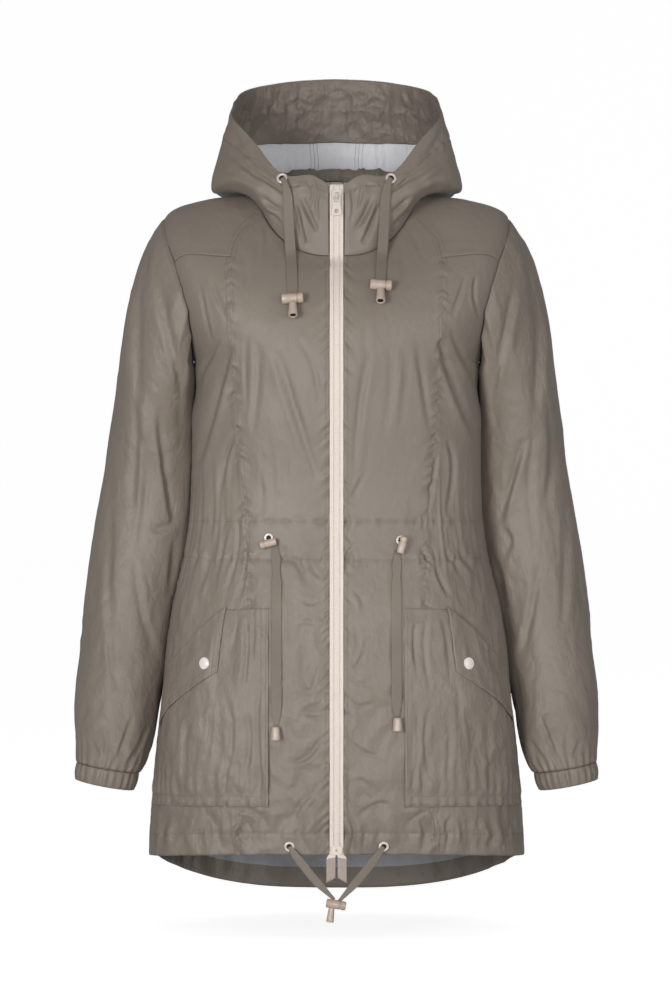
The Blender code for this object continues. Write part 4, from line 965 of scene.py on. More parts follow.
def even_rows(inner, outer, count):
    """Put rows at even steps between two matching edges of angles and levels."""
    distance = distance_along(torso(*((inner + outer) / 2).T))
    whole = np.arange(len(inner))
    at = np.interp(np.linspace(0, 1, count) * distance[-1], distance, whole)
    return read_along(inner, whole, at), read_along(outer, whole, at)


def panel_grid(inner, outer, rows, columns):
    """Make a panel's grid of angles and levels, close-set beside its seams."""
    inner, outer = even_rows(inner, outer, rows)
    share = spread_shares(columns, 0.72)[None, :, None]
    return inner[:, None, :] * (1 - share) + outer[:, None, :] * share


def grid_normal(points, like):
    """Give the directions square to a grid of points, on the side that others point to."""
    along = np.gradient(points, axis=0)
    across = np.gradient(points, axis=1)
    normal = np.cross(along, across)
    normal = normal / np.maximum(np.linalg.norm(normal, axis=-1, keepdims=True), 1e-12)
    return normal * np.where(np.sum(normal * like) < 0, -1.0, 1.0)


def seam_roll(points, normal, edges):
    """Roll the edges of a panel in at its seams. Edges are named first and last, row and column."""
    rolled = np.zeros(points.shape[:2])
    for axis, word in ((0, "row"), (1, "column")):
        distance = distance_along(points.swapaxes(0, axis)).swapaxes(0, axis)
        if "first_" + word in edges:
            rolled = np.maximum(rolled, np.exp(-(distance / SEAM_ROLL_REACH) ** 2))
        if "last_" + word in edges:
            back = np.take(distance, [-1], axis=axis) - distance
            rolled = np.maximum(rolled, np.exp(-(back / SEAM_ROLL_REACH) ** 2))
    return points - normal * (SEAM_ROLL * rolled)[..., None]


def read_rows(values, at):
    """Read each column of a grid at a row of its own, to give a line."""
    low = np.clip(at.astype(int), 0, len(values) - 2)
    part = (at - low)[:, None]
    column = np.arange(values.shape[1])
    return values[low, column] * (1 - part) + values[low + 1, column] * part


def level_line(points, face, heights, height):
    """Give the line on which a grid's heights, which rise from row to row, reach a height."""
    rows = np.arange(len(heights))
    at = np.array([np.interp(height, column, rows) for column in heights.T])
    return read_rows(points, at), read_rows(face, at)


def sew_edges(sewing, points, face, edges, insets):
    """Add lines of sewing that run beside a grid's edges."""
    for edge in edges:
        turned_points, turned_face = points, face
        if edge.endswith("column"):
            turned_points, turned_face = points.swapaxes(0, 1), face.swapaxes(0, 1)
        if edge.startswith("last"):
            turned_points, turned_face = turned_points[::-1], turned_face[::-1]
        distance = distance_along(turned_points)
        for inset in insets:
            sewing.append(level_line(turned_points, turned_face, distance, inset))


def add_mesh(name, points, faces, materials, which=None, smooth=True):
    """Add a mesh object."""
    mesh = bpy.data.meshes.new(name)
    mesh.from_pydata(np.asarray(points).reshape(-1, 3).tolist(), [], faces)
    for material in materials:
        mesh.materials.append(material)
    if which is not None:
        mesh.polygons.foreach_set("material_index", np.asarray(which, dtype=np.int32))
    if smooth:
        mesh.shade_smooth()
    made = bpy.data.objects.new(name, mesh)
    bpy.context.scene.collection.objects.link(made)
    return made


def dress(made, node, body="garment"):
    """Let a finer piece stand for its solid."""
    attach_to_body(made, body)
    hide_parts(node)
    return made


def attach(made):
    """Let a piece that stands for no solid ride on the garment."""
    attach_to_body(made, "garment")


def grid_faces(rows, columns, closed):
    """List the four-sided cells of a grid."""
    cells = columns if closed else columns - 1
    row, column = np.meshgrid(np.arange(rows - 1), np.arange(cells), indexing="ij")
    beside = (column + 1) % columns
    corners = (row * columns + column, row * columns + beside)
    above = ((row + 1) * columns + beside, (row + 1) * columns + column)
    return np.stack(corners + above, axis=-1).reshape(-1, 4)


def add_shell(name, outer, inner, materials, closed=False, turned_rows=0):
    """Add a two-sided shell. Its inner side takes the second material, and a turned-up edge the third."""
    rows, columns = outer.shape[:2]
    under = rows * columns
    points = np.concatenate((outer.reshape(-1, 3), inner.reshape(-1, 3)))
    skin = grid_faces(rows, columns, closed)
    cells = columns if closed else columns - 1
    column = np.arange(cells)
    beside = (column + 1) % columns
    last = (rows - 1) * columns
    rims = [
        np.stack((beside, column, column + under, beside + under), axis=-1),
        np.stack((last + column, last + beside, last + beside + under, last + column + under), axis=-1),
    ]
    if not closed:
        row = np.arange(rows - 1) * columns
        above = row + columns
        rims.append(np.stack((row, above, above + under, row + under), axis=-1))
        row, above = row + columns - 1, above + columns - 1
        rims.append(np.stack((above, row, row + under, above + under), axis=-1))
    reverse = skin[:, ::-1] + under
    faces = np.concatenate([skin, reverse] + rims)
    which = np.zeros(len(faces), dtype=np.int32)
    which[len(skin):2 * len(skin)] = 1
    which[len(skin):len(skin) + turned_rows * cells] = 2
    corner, first, third = (points[faces[:len(skin), at]] for at in (0, 1, 2))
    out = points[skin[:, 0]] - points[skin[:, 0] + under]
    if np.sum(np.cross(first - corner, third - corner) * out) < 0:
        faces = faces[:, ::-1]
    return add_mesh(name, points, faces.tolist(), materials, which)


def torso_shell(node, grid, materials, edges, sewing, side=1, turned_rows=0):
    """Make the shell of a torso panel, let it stand for the panel's solid and give its face."""
    spots = grid * (side, 1)
    points, normal = torso_surface(spots[..., 0], spots[..., 1])
    points = seam_roll(points, normal, edges)
    face = grid_normal(points, normal)
    made = add_shell(node + "_cloth", points, points - face * SHELL_WALL, materials, turned_rows=turned_rows)
    dress(made, node)
    if not node.startswith("yoke"):
        smooth = torso(spots[..., 0], spots[..., 1])[..., 2]
        for row in WAIST_ROWS:
            sewing.append(level_line(points, face, smooth, row))
        over_hem = smooth - torso(spots[..., 0], np.full(smooth.shape, HEM))[..., 2]
        sewing.append(level_line(points, face, over_hem, HEM_ROW - HEM))
    return points, face


def make_torso_cloth(shell, reverse, facing, sewing):
    """Make the fronts, side fronts, yokes and back."""
    # Here the reverse is the darker painted-shade copy of the reverse cloth, and the facing the darker
    # painted-shade copy of the shell.
    cloth = (shell, reverse, facing)
    upper = princess_upper_levels()
    lower = LOWER_LEVELS
    levels = np.concatenate((lower, upper))
    climb = yoke_inner_edge(4)[1:]
    zip_levels = np.concatenate((levels, np.linspace(YOKE_PRINCESS_LEVEL, NECK, 4)[1:]))
    zip_edge = pairs(angle_at(ZIP_HALF, zip_levels), zip_levels)
    princess = princess_edge(levels)
    front = panel_grid(zip_edge, np.concatenate((princess, climb)), 330, 46)
    side_seam = np.concatenate((pairs(math.pi / 2, lower), armhole_edge(-1)[1:YOKE_ARMHOLE_ROW + 1]))
    side_front = panel_grid(princess, side_seam, 270, 76)
    to_neck = yoke_inner_edge(4)
    from_armhole = ruled(armhole_edge(-1)[YOKE_ARMHOLE_ROW][None], to_neck[:1], 6)[0]
    seam = np.concatenate((from_armhole, to_neck[1:]))
    shoulder = pairs(math.pi / 2, np.linspace(SHOULDER_TIP, NECK, len(seam)))
    yoke = panel_grid(shoulder, seam, 60, 44)
    yoke_edge = armhole_edge(-1)[YOKE_ARMHOLE_ROW:][::-1]
    at = np.linspace(0, len(yoke_edge) - 1, 44)
    yoke[0] = read_along(yoke_edge, np.arange(len(yoke_edge)), at)
    zip_side = ("first_row", "last_row", "first_column")
    seam_side = ("first_row", "last_row", "last_column")
    for side, word in SIDES:
        cloth_face = torso_shell("front_" + word, front, cloth, zip_side, sewing, side)
        sew_edges(sewing, *cloth_face, ("first_column", "last_column"), SEAM_STITCH)
        cloth_face = torso_shell("side_front_" + word, side_front, cloth, seam_side, sewing, side)
        sew_edges(sewing, *cloth_face, ("first_column",), SEAM_STITCH)
        cloth_face = torso_shell("yoke_" + word, yoke, cloth, seam_side, sewing, side)
        sew_edges(sewing, *cloth_face, ("last_column",), EDGE_STITCH)
    shoulder_levels = np.linspace(SHOULDER_TIP, NECK, 4)[1:]
    edge = np.concatenate(
        (pairs(math.pi / 2, lower), armhole_edge(1)[1:], pairs(math.pi / 2, shoulder_levels)))
    far_edge = np.stack((2 * math.pi - edge[:, 0], edge[:, 1]), axis=-1)
    back = panel_grid(edge, far_edge, 172, 204)
    # The inside of the five turned-up hem rows takes the third material, the darker copy of the shell that
    # is painted shade.
    torso_shell("back", back, cloth, ("first_row", "first_column", "last_column"), sewing, turned_rows=5)


def section_ring(sections, row, turn):
    """Give a sleeve section's ring of points, from its outer side to the front."""
    tilt = math.radians(sections["tilt"][row])
    centre = np.array([sections[name][row] for name in ("x", "y", "z")])
    wide = sections["half_width"][row] * np.array((math.cos(tilt), 0.0, math.sin(tilt)))
    deep = sections["half_depth"][row] * np.array((0.0, -1.0, 0.0))
    return centre + np.cos(turn)[:, None] * wide + np.sin(turn)[:, None] * deep


def loft(rows, count):
    """Read evenly spaced smooth rows through the given ones."""
    distance = distance_along(rows.mean(axis=1))
    at = np.interp(np.linspace(0, distance[-1], count), distance, np.arange(len(rows)))
    slopes = np.gradient(rows, axis=0)
    spot = np.clip(at.astype(int), 0, len(rows) - 2)
    part = (at - spot)[:, None, None]
    return hermite(part, rows[spot], slopes[spot], rows[spot + 1], slopes[spot + 1])


def sleeve_form(cap_rows, arm_rows, columns):
    """Loft the sleeve from the armhole through its sections, and give each column's turn."""
    front = armhole_edge(-1)[::-1]
    loop = np.concatenate((front, armhole_edge(1)[1:-1], front[:1]))
    distance = distance_along(torso(loop[:, 0], loop[:, 1]))
    at = np.linspace(0, distance[-1], columns, endpoint=False)
    spots = read_along(loop, distance, at)
    edge, normal, into_hole = edge_frame(spots)
    turn = 2 * math.pi * at / distance[-1]
    rings = np.stack([section_ring(SLEEVE, row, turn) for row in range(len(SLEEVE["x"]))])
    height = (edge[:, 2] - edge[:, 2].min()) / np.ptp(edge[:, 2])
    outward = UNDERARM_LEAN + TIP_LEAN * height
    heading = unit(np.stack((outward, np.zeros_like(height), TIP_LIFT * height - 1), axis=-1))
    first = seam_start(edge, normal, into_hole, heading)
    down = unit(rings[1] - rings[0])
    reach = CAP_PULL * np.linalg.norm(rings[0] - first, axis=-1)[:, None]
    cap = []
    for share in np.linspace(0, 1, cap_rows, endpoint=False):
        cap.append(hermite(share, first, reach * heading, rings[0], reach * down))
    return np.concatenate((np.stack(cap), loft(rings, arm_rows))), turn


def closed_normal(points):
    """Give the outward directions of a tube of points."""
    around = np.roll(points, -1, axis=1) - np.roll(points, 1, axis=1)
    normal = np.cross(np.gradient(points, axis=0), around)
    normal = normal / np.maximum(np.linalg.norm(normal, axis=-1, keepdims=True), 1e-12)
    centre = points.mean(axis=1, keepdims=True)
    return normal * np.sign(np.sum(normal * (points - centre)))


def cuff_folds(turn, side):
    """Give the uneven gathers round a cuff, as a curve over the turn."""
    swing = 0.45 * np.sin(3 * turn + side) + 0.35 * np.sin(5 * turn + 2 * side)
    high = 0.7 + 0.3 * np.sin(7 * turn + 3 * side)
    return high * np.cos(CUFF_WAVES * turn + 2 * swing)


def sleeve_relief(points, normal, turn, side):
    """Add up everything that creases a sleeve's cloth."""
    front = ease_in(-normal[..., 1], 0.05, 0.4)
    behind = ease_in(normal[..., 1], 0.05, 0.4)
    relief = crease_relief(seen(points), front, SLEEVE_CREASES)
    relief += crease_relief(seen_from_behind(points), behind, SLEEVE_BACK_CREASES)
    relief += 0.0013 * wrinkles(points, 0.034, 3.0, 51 + side)
    relief += 0.0008 * wrinkles(points, 0.015, 1.7, 53 + side)
    down = distance_along(points)
    left = down[-1] - down
    relief = relief * ease_in(down, 0.0, 0.014)
    run = turn[None, :] * 0.06 + 0 * down
    relief += seam_pucker(down, run, 0.009, 0.0060, 0.0007, 0.2, 55 + side) * ease_in(down, 0.0, 0.003)
    near_cuff = np.exp(-(left / 0.022) ** 2)
    return relief * (1 - 0.6 * near_cuff) + 0.0016 * near_cuff * cuff_folds(turn, side)[None, :]


def make_sleeve_cloth(shell, reverse, sewing):
    """Make the sleeves and their gathered cuffs."""
    form, turn = sleeve_form(30, 102, 124)
    fine_turn = np.linspace(0, 2 * math.pi, 10 * CUFF_WAVES, endpoint=False)
    band = np.stack([section_ring(CUFF_SECTIONS, row, fine_turn) for row in range(3)])
    band = loft(band, 13)
    rise = np.linspace(0, 1, 13)[:, None]
    for side, word in SIDES:
        mirror = np.array((side, 1, 1))
        points = form * mirror
        normal = closed_normal(points)
        relief = sleeve_relief(points, normal, turn, side)
        relief += underarm_press(points, -side * normal[..., 0])
        points = seam_roll(points + normal * relief[..., None], normal, ("first_row", "last_row"))
        face = closed_normal(points)
        inner = points - face * SHELL_WALL
        # The sleeve's inside takes the darker reverse, which is painted shade.
        made = add_shell(f"sleeve_{word}_cloth", points, inner, (shell, reverse), closed=True)
        dress(made, "sleeve_" + word)
        sew_edges(sewing, points, face, ("first_row",), SEAM_STITCH)
        points = band * mirror
        normal = closed_normal(points)
        bulge = 0.0014 * np.sin(np.pi * rise) - 0.0006
        swell = 0.45 + 0.55 * np.sin(np.pi * rise)
        gathers = CUFF_WAVE_DEPTH * cuff_folds(fine_turn, side)[None, :] * swell
        points = points + normal * (bulge + gathers)[..., None]
        inner = points - closed_normal(points) * SHELL_WALL
        made = add_shell(f"cuff_{word}_cloth", points, inner, (shell, shell), closed=True)
        dress(made, "cuff_" + word)


def channel_share(angle):
    """Give the share at which the hood's drawcord channel is stitched, by the angle round the neck."""
    degrees = 180 - np.abs(180 - np.degrees(angle))
    return np.interp(degrees, (0, 40, 85, 110, 145, 180), (0.86, 0.85, 0.86, 0.88, 0.92, FACING_HEM_SHARE))


def hood_surface(angle, share):
    """Give the creased hood's points and their outward directions."""
    points = hood(angle, share)
    normal = surface_normal(hood, angle, share)
    front = ease_in(-normal[..., 1], 0.0, 0.35)
    behind = ease_in(normal[..., 1], 0.05, 0.4)
    relief = crease_relief(seen(points), front, HOOD_CREASES)
    relief -= crease_relief(seen(points), behind * ease_in(share, 0.5, 0.7), HOOD_INSIDE_CREASES)
    relief += crease_relief(seen_from_behind(points), behind, HOOD_BACK_CREASES)
    relief += 0.0011 * wrinkles(points, 0.022, 1.3, 61)
    channel = (share - channel_share(angle)) * 0.2
    relief -= 0.0010 * np.exp(-(channel / 0.0014) ** 2)
    relief += seam_pucker(channel, angle * 0.13, 0.010, 0.0070, 0.0016, 0.4, 63)
    relief = relief * ease_in(share, 0.0, 0.06)
    return points + normal * relief[..., None], normal


def hood_shell(node, angle, share, materials, edges, sewing):
    """Make the shell of a hood piece, let it stand for the piece's solid and sew it on both its sides."""
    points, normal = hood_surface(angle, share)
    points = seam_roll(points, normal, edges)
    face = grid_normal(points, normal)
    inner = points - face * SHELL_WALL
    dress(add_shell(node + "_cloth", points, inner, materials), node)
    sewing.append(level_line(points, face, share - channel_share(angle), 0.0))
    for skin, out in ((points, face), (inner, -face)):
        sew_edges(sewing, skin, out, [edge for edge in edges if edge in SEWN_HOOD_EDGES[node]], SEAM_STITCH)


def gusset_edge(share):
    """Give the angle of the seam beside the hood's centre piece, which narrows towards the neck."""
    return np.radians(np.interp(share, (0.0, 0.8, 1.0), (172.5, 171.5, 168.0)))


def make_hood_cloth(shell, reverse, facing, sewing):
    """Make the hood's three pieces and the facings inside it."""
    share = spread_shares(64, 0.55)[:, None]
    half = HOOD_START + (gusset_edge(share) - HOOD_START) * spread_shares(136, 0.6)
    side_share = np.broadcast_to(share, half.shape)
    hood_shell("hood_left", half, side_share, (shell, reverse), EVERY_EDGE, sewing)
    other_half = 2 * math.pi - half[:, ::-1]
    hood_shell("hood_right", other_half, side_share, (shell, reverse), EVERY_EDGE, sewing)
    gusset = gusset_edge(share) + 2 * (math.pi - gusset_edge(share)) * spread_shares(26, 0.5)
    centre_share = np.broadcast_to(share, gusset.shape)
    hood_shell("hood_centre", gusset, centre_share, (shell, reverse), EVERY_EDGE, sewing)
    angles = np.linspace(FACING_START, 2 * math.pi - FACING_START, 240)
    aside = np.degrees(np.abs(math.pi - angles))
    low = np.interp(aside, (0, 30, 60, 110), (0.846, 0.832, 0.795, 0.770))
    share = low + (0.9995 - low) * np.linspace(0, 1, 30)[:, None]
    make_facing("hood_facing", np.broadcast_to(angles, share.shape), share, facing, sewing)
    angles = np.linspace(NECK_FACING_START, 2 * math.pi - NECK_FACING_START, 120)
    angles, share = np.meshgrid(angles, np.linspace(*NECK_FACING_SHARES, 8))
    make_facing("neck_facing", angles, share, facing, sewing)


def make_facing(node, angle, share, facing, sewing):
    """Make a facing that lies inside the hood, with a puckered seam at each side of its middle."""
    points, normal = hood_surface(angle, share)
    beside = (np.abs(math.pi - angle) - (math.pi - FACING_SEAM)) * 0.13
    puckers = seam_pucker(beside, points[..., 2], 0.010, 0.0056, 0.0044, 0.6, 65)
    puckers = puckers + 0.0022 * np.exp(-(beside / 0.0016) ** 2)
    hem_row = (share - FACING_HEM_SHARE) * 0.45
    puckers = puckers + 0.0012 * np.exp(-(hem_row / 0.0014) ** 2)
    loose = 0.0024 + 0.0022 * wrinkles(points, 0.019, 0.8, 67) - puckers
    lie = SHELL_WALL + LIE_GAP + loose * (1 - ease_in(share, 0.96, 1.0))
    outer = points - normal * np.maximum(lie, SHELL_WALL + LIE_GAP)[..., None]
    inner = outer - normal * FACING_WALL
    dress(add_shell(node + "_cloth", outer, inner, (facing, facing)), node)
    sew_edges(sewing, inner, -normal, ("first_row",), SEAM_STITCH)
    if node == "hood_facing":
        sewing.append(level_line(inner, -normal, hem_row, 0.0))


def pocket_cover(angle, level):
    """Give 1 well inside a pocket and 0 outside it, to calm the cloth that the pocket hides."""
    turned_angle = np.abs(front_angle(angle))
    start = float(angle_at(POCKET_INNER, np.array(POCKET_BOTTOM_LEVEL)))
    across = ease_in(turned_angle - start, 0.0, 0.06)
    across = across * ease_in(POCKET_OUTER_ANGLE - turned_angle, 0.0, 0.06)
    up = ease_in(level, POCKET_BOTTOM_LEVEL, POCKET_BOTTOM_LEVEL + 0.012)
    return across * up * ease_in(pocket_top(turned_angle) - level, 0.0, 0.012)


def make_patch(node, angles, levels, lift, cloth, side):
    """Make a patch that lies on the torso, let it stand for its solid and give its face."""
    points = torso(side * angles, levels)
    normal = surface_normal(torso, side * angles, levels)
    front = ease_in(-normal[..., 1], 0.0, 0.3)
    relief = crease_relief(seen(points), front, POCKET_CREASES)
    relief += 0.0021 * wrinkles(points, 0.018, 1.6, 91 + side)
    points = points + normal * (LIE_GAP + PATCH_WALL + lift + relief)[..., None]
    points = seam_roll(points, normal, EVERY_EDGE)
    face = grid_normal(points, normal)
    dress(add_shell(node + "_cloth", points, points - face * THIN_WALL, (cloth, cloth)), node)
    return points, face


def make_patch_cloth(shell, sewing):
    """Make the gathered patch pockets and their flaps."""
    across = spread_shares(96, 0.6)
    rise = spread_shares(86, 0.6)[:, None]
    start = angle_at(POCKET_INNER, np.array(POCKET_BOTTOM_LEVEL))
    top = pocket_top(start + (POCKET_OUTER_ANGLE - start) * across)
    levels = POCKET_BOTTOM_LEVEL + (top - POCKET_BOTTOM_LEVEL) * rise
    inner_angles = angle_at(POCKET_INNER, levels[:, 0])[:, None]
    angles = inner_angles + (POCKET_OUTER_ANGLE - inner_angles) * across
    degrees = np.linspace(FLAP["angle"][0], FLAP["angle"][-1], 60)
    flap_top = np.interp(degrees, FLAP["angle"], FLAP["top"])
    flap_bottom = np.interp(degrees, FLAP["angle"], FLAP["bottom"])
    flap_levels = flap_top + (flap_bottom - flap_top) * spread_shares(44, 0.6)[:, None]
    flap_angles = np.broadcast_to(np.radians(degrees), flap_levels.shape)
    for side, word in SIDES:
        run = across * POCKET_WAVES
        folds = 0.5 + 0.5 * np.sin(2 * np.pi * (run + 0.5 * line_noise(0.7 * run, 95 + side)))
        folds = folds * (0.65 + 0.35 * line_noise(0.9 * run, 97 + side))
        band = np.exp(-((rise - 0.055) / 0.03) ** 2)
        fade = np.exp(-((rise - 0.05) / 0.16) ** 2) * (1 - 0.75 * band)
        lift = pocket_puff(angles, levels) + POCKET_GATHER_DEPTH * fade * folds
        points, face = make_patch("pocket_" + word, angles, levels, lift, shell, side)
        sew_edges(sewing, points, face, ("first_column", "last_column"), EDGE_STITCH)
        sew_edges(sewing, points, face, ("first_row",), POCKET_BAND_STITCH)
        ripple = 0.0012 * np.linspace(0, 1, 44)[:, None] ** 3 * line_noise(np.linspace(0, 9, 60), 99 + side)
        settle = ease_in(flap_angles, POCKET_OUTER_ANGLE - 0.10, POCKET_OUTER_ANGLE + 0.06)
        lift = flap_lift(flap_angles, flap_levels) * (1 - settle) + ripple
        points, face = make_patch("flap_" + word, flap_angles, flap_levels, lift, shell, side)
        sew_edges(sewing, points, face, ("first_column", "last_column", "last_row"), EDGE_STITCH)


def along_path(path, count):
    """Read evenly spaced points along a path."""
    distance = distance_along(path)
    at = np.linspace(0, distance[-1], count)
    return np.stack([smooth_curve(at, distance, column) for column in path.T], axis=-1)


def make_zip(tape, shaded_tail_tape, shaded_tooth):
    """Make the zip tapes with their tails darkened as painted shade, the two columns of teeth and the box
    that ends them.
    """
    path = along_path(zip_path(), 300)
    slope = unit(np.gradient(path, axis=0))
    out = np.stack((-slope[:, 1], slope[:, 0]), axis=-1)
    tail = ease_in(-path[:, 1:], 0.744, 0.750)
    reach = np.linspace(0.0, ZIP_HALF - SEAM_GAP, 12)
    ribs = 0.00012 * np.cos(2 * np.pi * np.arange(12) / 3.0)
    depth = path[:, :1] + out[:, :1] * ribs
    height = path[:, 1:] + out[:, 1:] * ribs
    for side, word in SIDES:
        shift = 0.0012 * tail + reach * (1 + 0.32 * tail)
        outer = np.stack((shift * side, depth, height), axis=-1)
        slant = 0.0055 * np.linspace(1, 0, 12)[None, :] * np.linspace(1, 0, 300)[:, None] ** 30
        outer[..., 2] += slant
        inner = outer.copy()
        inner[..., 1] -= out[:, :1] * THIN_WALL
        inner[..., 2] -= out[:, 1:] * THIN_WALL
        made = add_shell(f"zip_tape_{word}_weave", outer, inner, (tape, tape, shaded_tail_tape))
        # Faces below the hem take the darker tail colour, which is painted shade.
        for face in made.data.polygons:
            if face.center.z < HEM - 0.003:
                face.material_index = 2
        dress(made, "zip_tape_" + word)
        add_teeth(word, side, path, out, shaded_tooth)
    spot = torso(0.0, front_spot(0.0, ZIP_BOX_HEIGHT)[1]) - np.array((0.0, 0.0016, 0.0))
    outline = mirrored_outline(((0.0008, 0.0050), (0.0040, 0.0049), (0.0052, 0.0040), (0.0052, -0.0036),
                                (0.0040, -0.0049), (0.0008, -0.0052)))
    box = outline_piece("zip_end_box", outline, [round_loop(0.0, 0.0, 0.0011)], 0.0026, spot, tape, 0.0006)
    attach(box)


def add_teeth(word, side, path, out, shaded_tooth):
    """Add one column of teeth as a joined mesh."""
    distance = distance_along(path)
    start = np.interp(HEM + 0.006, path[:, 1], distance)
    spots = np.arange(start + (TOOTH_PITCH / 2 if side < 0 else 0), distance[-1] - 0.002, TOOTH_PITCH)
    base = np.array(((0.0, -1.0), (1.0, -1.0), (1.0, 1.0), (0.0, 1.0)))
    points = []
    faces = []
    for spot in spots:
        middle = read_along(path, distance, spot)
        face = read_along(out, distance, spot)
        way = np.array((-face[1], face[0]))
        first = len(points)
        for inset, lift in ((0.0, 0.0), (0.10, 0.0007), (0.28, 0.0010)):
            for wide, tall in base:
                x = TOOTH_REACH[0] + (TOOTH_REACH[1] - TOOTH_REACH[0]) * (inset + wide * (1 - 2 * inset))
                step = way * tall * TOOTH_HALF * (1 - inset)
                place = middle + face * lift + step
                points.append((side * x, place[0], place[1]))
        for low in (first, first + 4):
            for corner in range(4):
                beside = (corner + 1) % 4
                faces.append((low + corner, low + beside, low + 4 + beside, low + 4 + corner))
        faces.append((first + 8, first + 9, first + 10, first + 11))
    if side < 0:
        faces = [tuple(reversed(face)) for face in faces]
    # The teeth take the darker tooth colour, painted shade for the gaps between them.
    made = add_mesh(f"zip_teeth_{word}", points, faces, (shaded_tooth,), smooth=False)
    attach(made)


def turned(name, profile, spot, axis, materials, sides=36, painted_shade_rows=()):
    """Add a shape turned about an axis, from radius and height pairs. Rows listed as painted shade take the
    second material.
    """
    axis = unit(np.asarray(axis, dtype=float))
    helper = np.array((1.0, 0.0, 0.0)) if abs(axis[0]) < 0.8 else np.array((0.0, 0.0, 1.0))
    first = unit(np.cross(axis, helper))
    second = np.cross(axis, first)
    turn = np.linspace(0, 2 * math.pi, sides, endpoint=False)
    spoke = np.cos(turn)[:, None] * first + np.sin(turn)[:, None] * second
    rows = np.stack([np.asarray(spot) + radius * spoke + height * axis for radius, height in profile])
    count = len(rows)
    faces = []
    which = []
    for row in range(count - 1):
        below = row * sides
        above = below + sides
        for corner in range(sides):
            beside = (corner + 1) % sides
            faces.append((below + corner, below + beside, above + beside, above + corner))
            which.append(1 if row in painted_shade_rows else 0)
    faces.append(tuple(reversed(range(sides))))
    faces.append(tuple(range((count - 1) * sides, count * sides)))
    which += [1 if 0 in painted_shade_rows else 0, 1 if count - 2 in painted_shade_rows else 0]
    made = add_mesh(name, rows, faces, materials, which)
    made.data.set_sharp_from_angle(angle=math.radians(40))
    return made


def eyelet_profile(radius):
    """Give an eyelet's rounded ring, with the hole's floor first; that floor is painted shade."""
    hole = radius * 0.50
    middle = (radius + hole) / 2
    half = (radius - hole) / 2
    turns = np.linspace(0.25, math.pi, 9)
    arc = [(middle - half * math.cos(turn), EYELET_THICK * math.sin(turn)) for turn in turns]
    return [(0.00002, 0.0001), (hole, 0.0001)] + arc + [(radius, -0.0004)]


def make_eyelets(metal, dark):
    """Make the eyelets at the hood, the waist and the hem."""
    for side, word in SIDES:
        mirror = np.array((side, 1.0, 1.0))
        angle, share = HOOD_EYELET
        spots = {"hood": (hood(angle, share), surface_normal(hood, np.array(angle), np.array(share)))}
        for place, (out, height) in (("waist", WAIST_EYELET[side]), ("hem", HEM_EYELET)):
            angle, level = front_spot(out, height)
            spots[place] = (torso(angle, level), surface_normal(torso, np.array(angle), np.array(level)))
        for place, (point, normal) in spots.items():
            base = (point + normal * (EYELET_LIFT[place] + 0.0004)) * mirror
            name = f"eyelet_{place}_{word}"
            profile = eyelet_profile(EYELET_RADIUS[place])
            # The floor and inner wall of the eyelet's hole take the near-black painted shade.
            made = turned(name + "_ring", profile, base, normal * mirror, (metal, dark), painted_shade_rows=(0, 1))
            dress(made, name)


def make_snaps(cap):
    """Make the domed snap caps on the flaps."""
    angle, level = front_spot(*SNAP_SPOT)
    normal = surface_normal(torso, np.array(angle), np.array(level))
    lift = LIE_GAP + float(flap_lift(angle, level)) + PATCH_WALL + SNAP_CLEAR
    shares = ((1.0, -0.2), (1.0, 0.25), (0.97, 0.42), (0.90, 0.52), (0.82, 0.54), (0.78, 0.50), (0.74, 0.56),
              (0.55, 0.78), (0.30, 0.93), (0.004, 1.0))
    profile = [(wide * SNAP_RADIUS, tall * SNAP_THICK) for wide, tall in shares]
    for side, word in SIDES:
        mirror = np.array((side, 1.0, 1.0))
        base = (torso(angle, level) + normal * lift) * mirror
        made = turned(f"snap_{word}_cap", profile, base, normal * mirror, (cap, cap), sides=44)
        dress(made, "snap_" + word)


def lock_profile(place):
    """Give a cord lock's barrel, with a groove between its body and its plunger cap."""
    radius, half = LOCK_RADIUS[place], LOCK_LENGTH[place] / 2
    shares = (
        (0.004, -1.0), (0.62, -1.0), (0.80, -0.985), (0.94, -0.94), (1.0, -0.86), (1.0, 0.33), (0.97, 0.37),
        (0.82, 0.39), (0.82, 0.47), (0.97, 0.49), (1.0, 0.53), (1.0, 0.86), (0.93, 0.95), (0.78, 0.99),
        (0.55, 1.0), (0.004, 1.0))
    return [(wide * radius, tall * half) for wide, tall in shares]


def end_profile(place):
    """Give a cord end: a bell that widens downwards, with an open mouth."""
    radius, length = END_RADIUS[place], END_LENGTH[place]
    shares = (
        (0.004, 0.0), (0.62, 0.0), (0.72, 0.03), (0.78, 0.12), (0.84, 0.30), (0.90, 0.55), (0.96, 0.80),
        (1.0, 0.93), (0.97, 0.985), (0.88, 1.0), (0.70, 0.99), (0.60, 0.95), (0.56, 0.80), (0.004, 0.78))
    return [(wide * radius, tall * length) for wide, tall in shares]


def lean_axis(degrees):
    """Give the direction of a barrel that leans by an angle from level, seen from the front."""
    return math.cos(math.radians(degrees)), 0.0, math.sin(math.radians(degrees))


def add_lock(place, word, spot, axis, materials):
    """Add a cord lock's barrel."""
    name = "lock_" + place + word
    made = turned(name + "_barrel", lock_profile(place), spot, axis, materials)
    return dress(made, name)


def add_end(place, word, spot, axis, materials):
    """Add a cord end."""
    name = "end_" + place + word
    # The inner wall and floor of the bell's mouth take the near-black painted shade.
    made = turned(name + "_bell", end_profile(place), spot, axis, materials, painted_shade_rows=(11, 12))
    return dress(made, name)


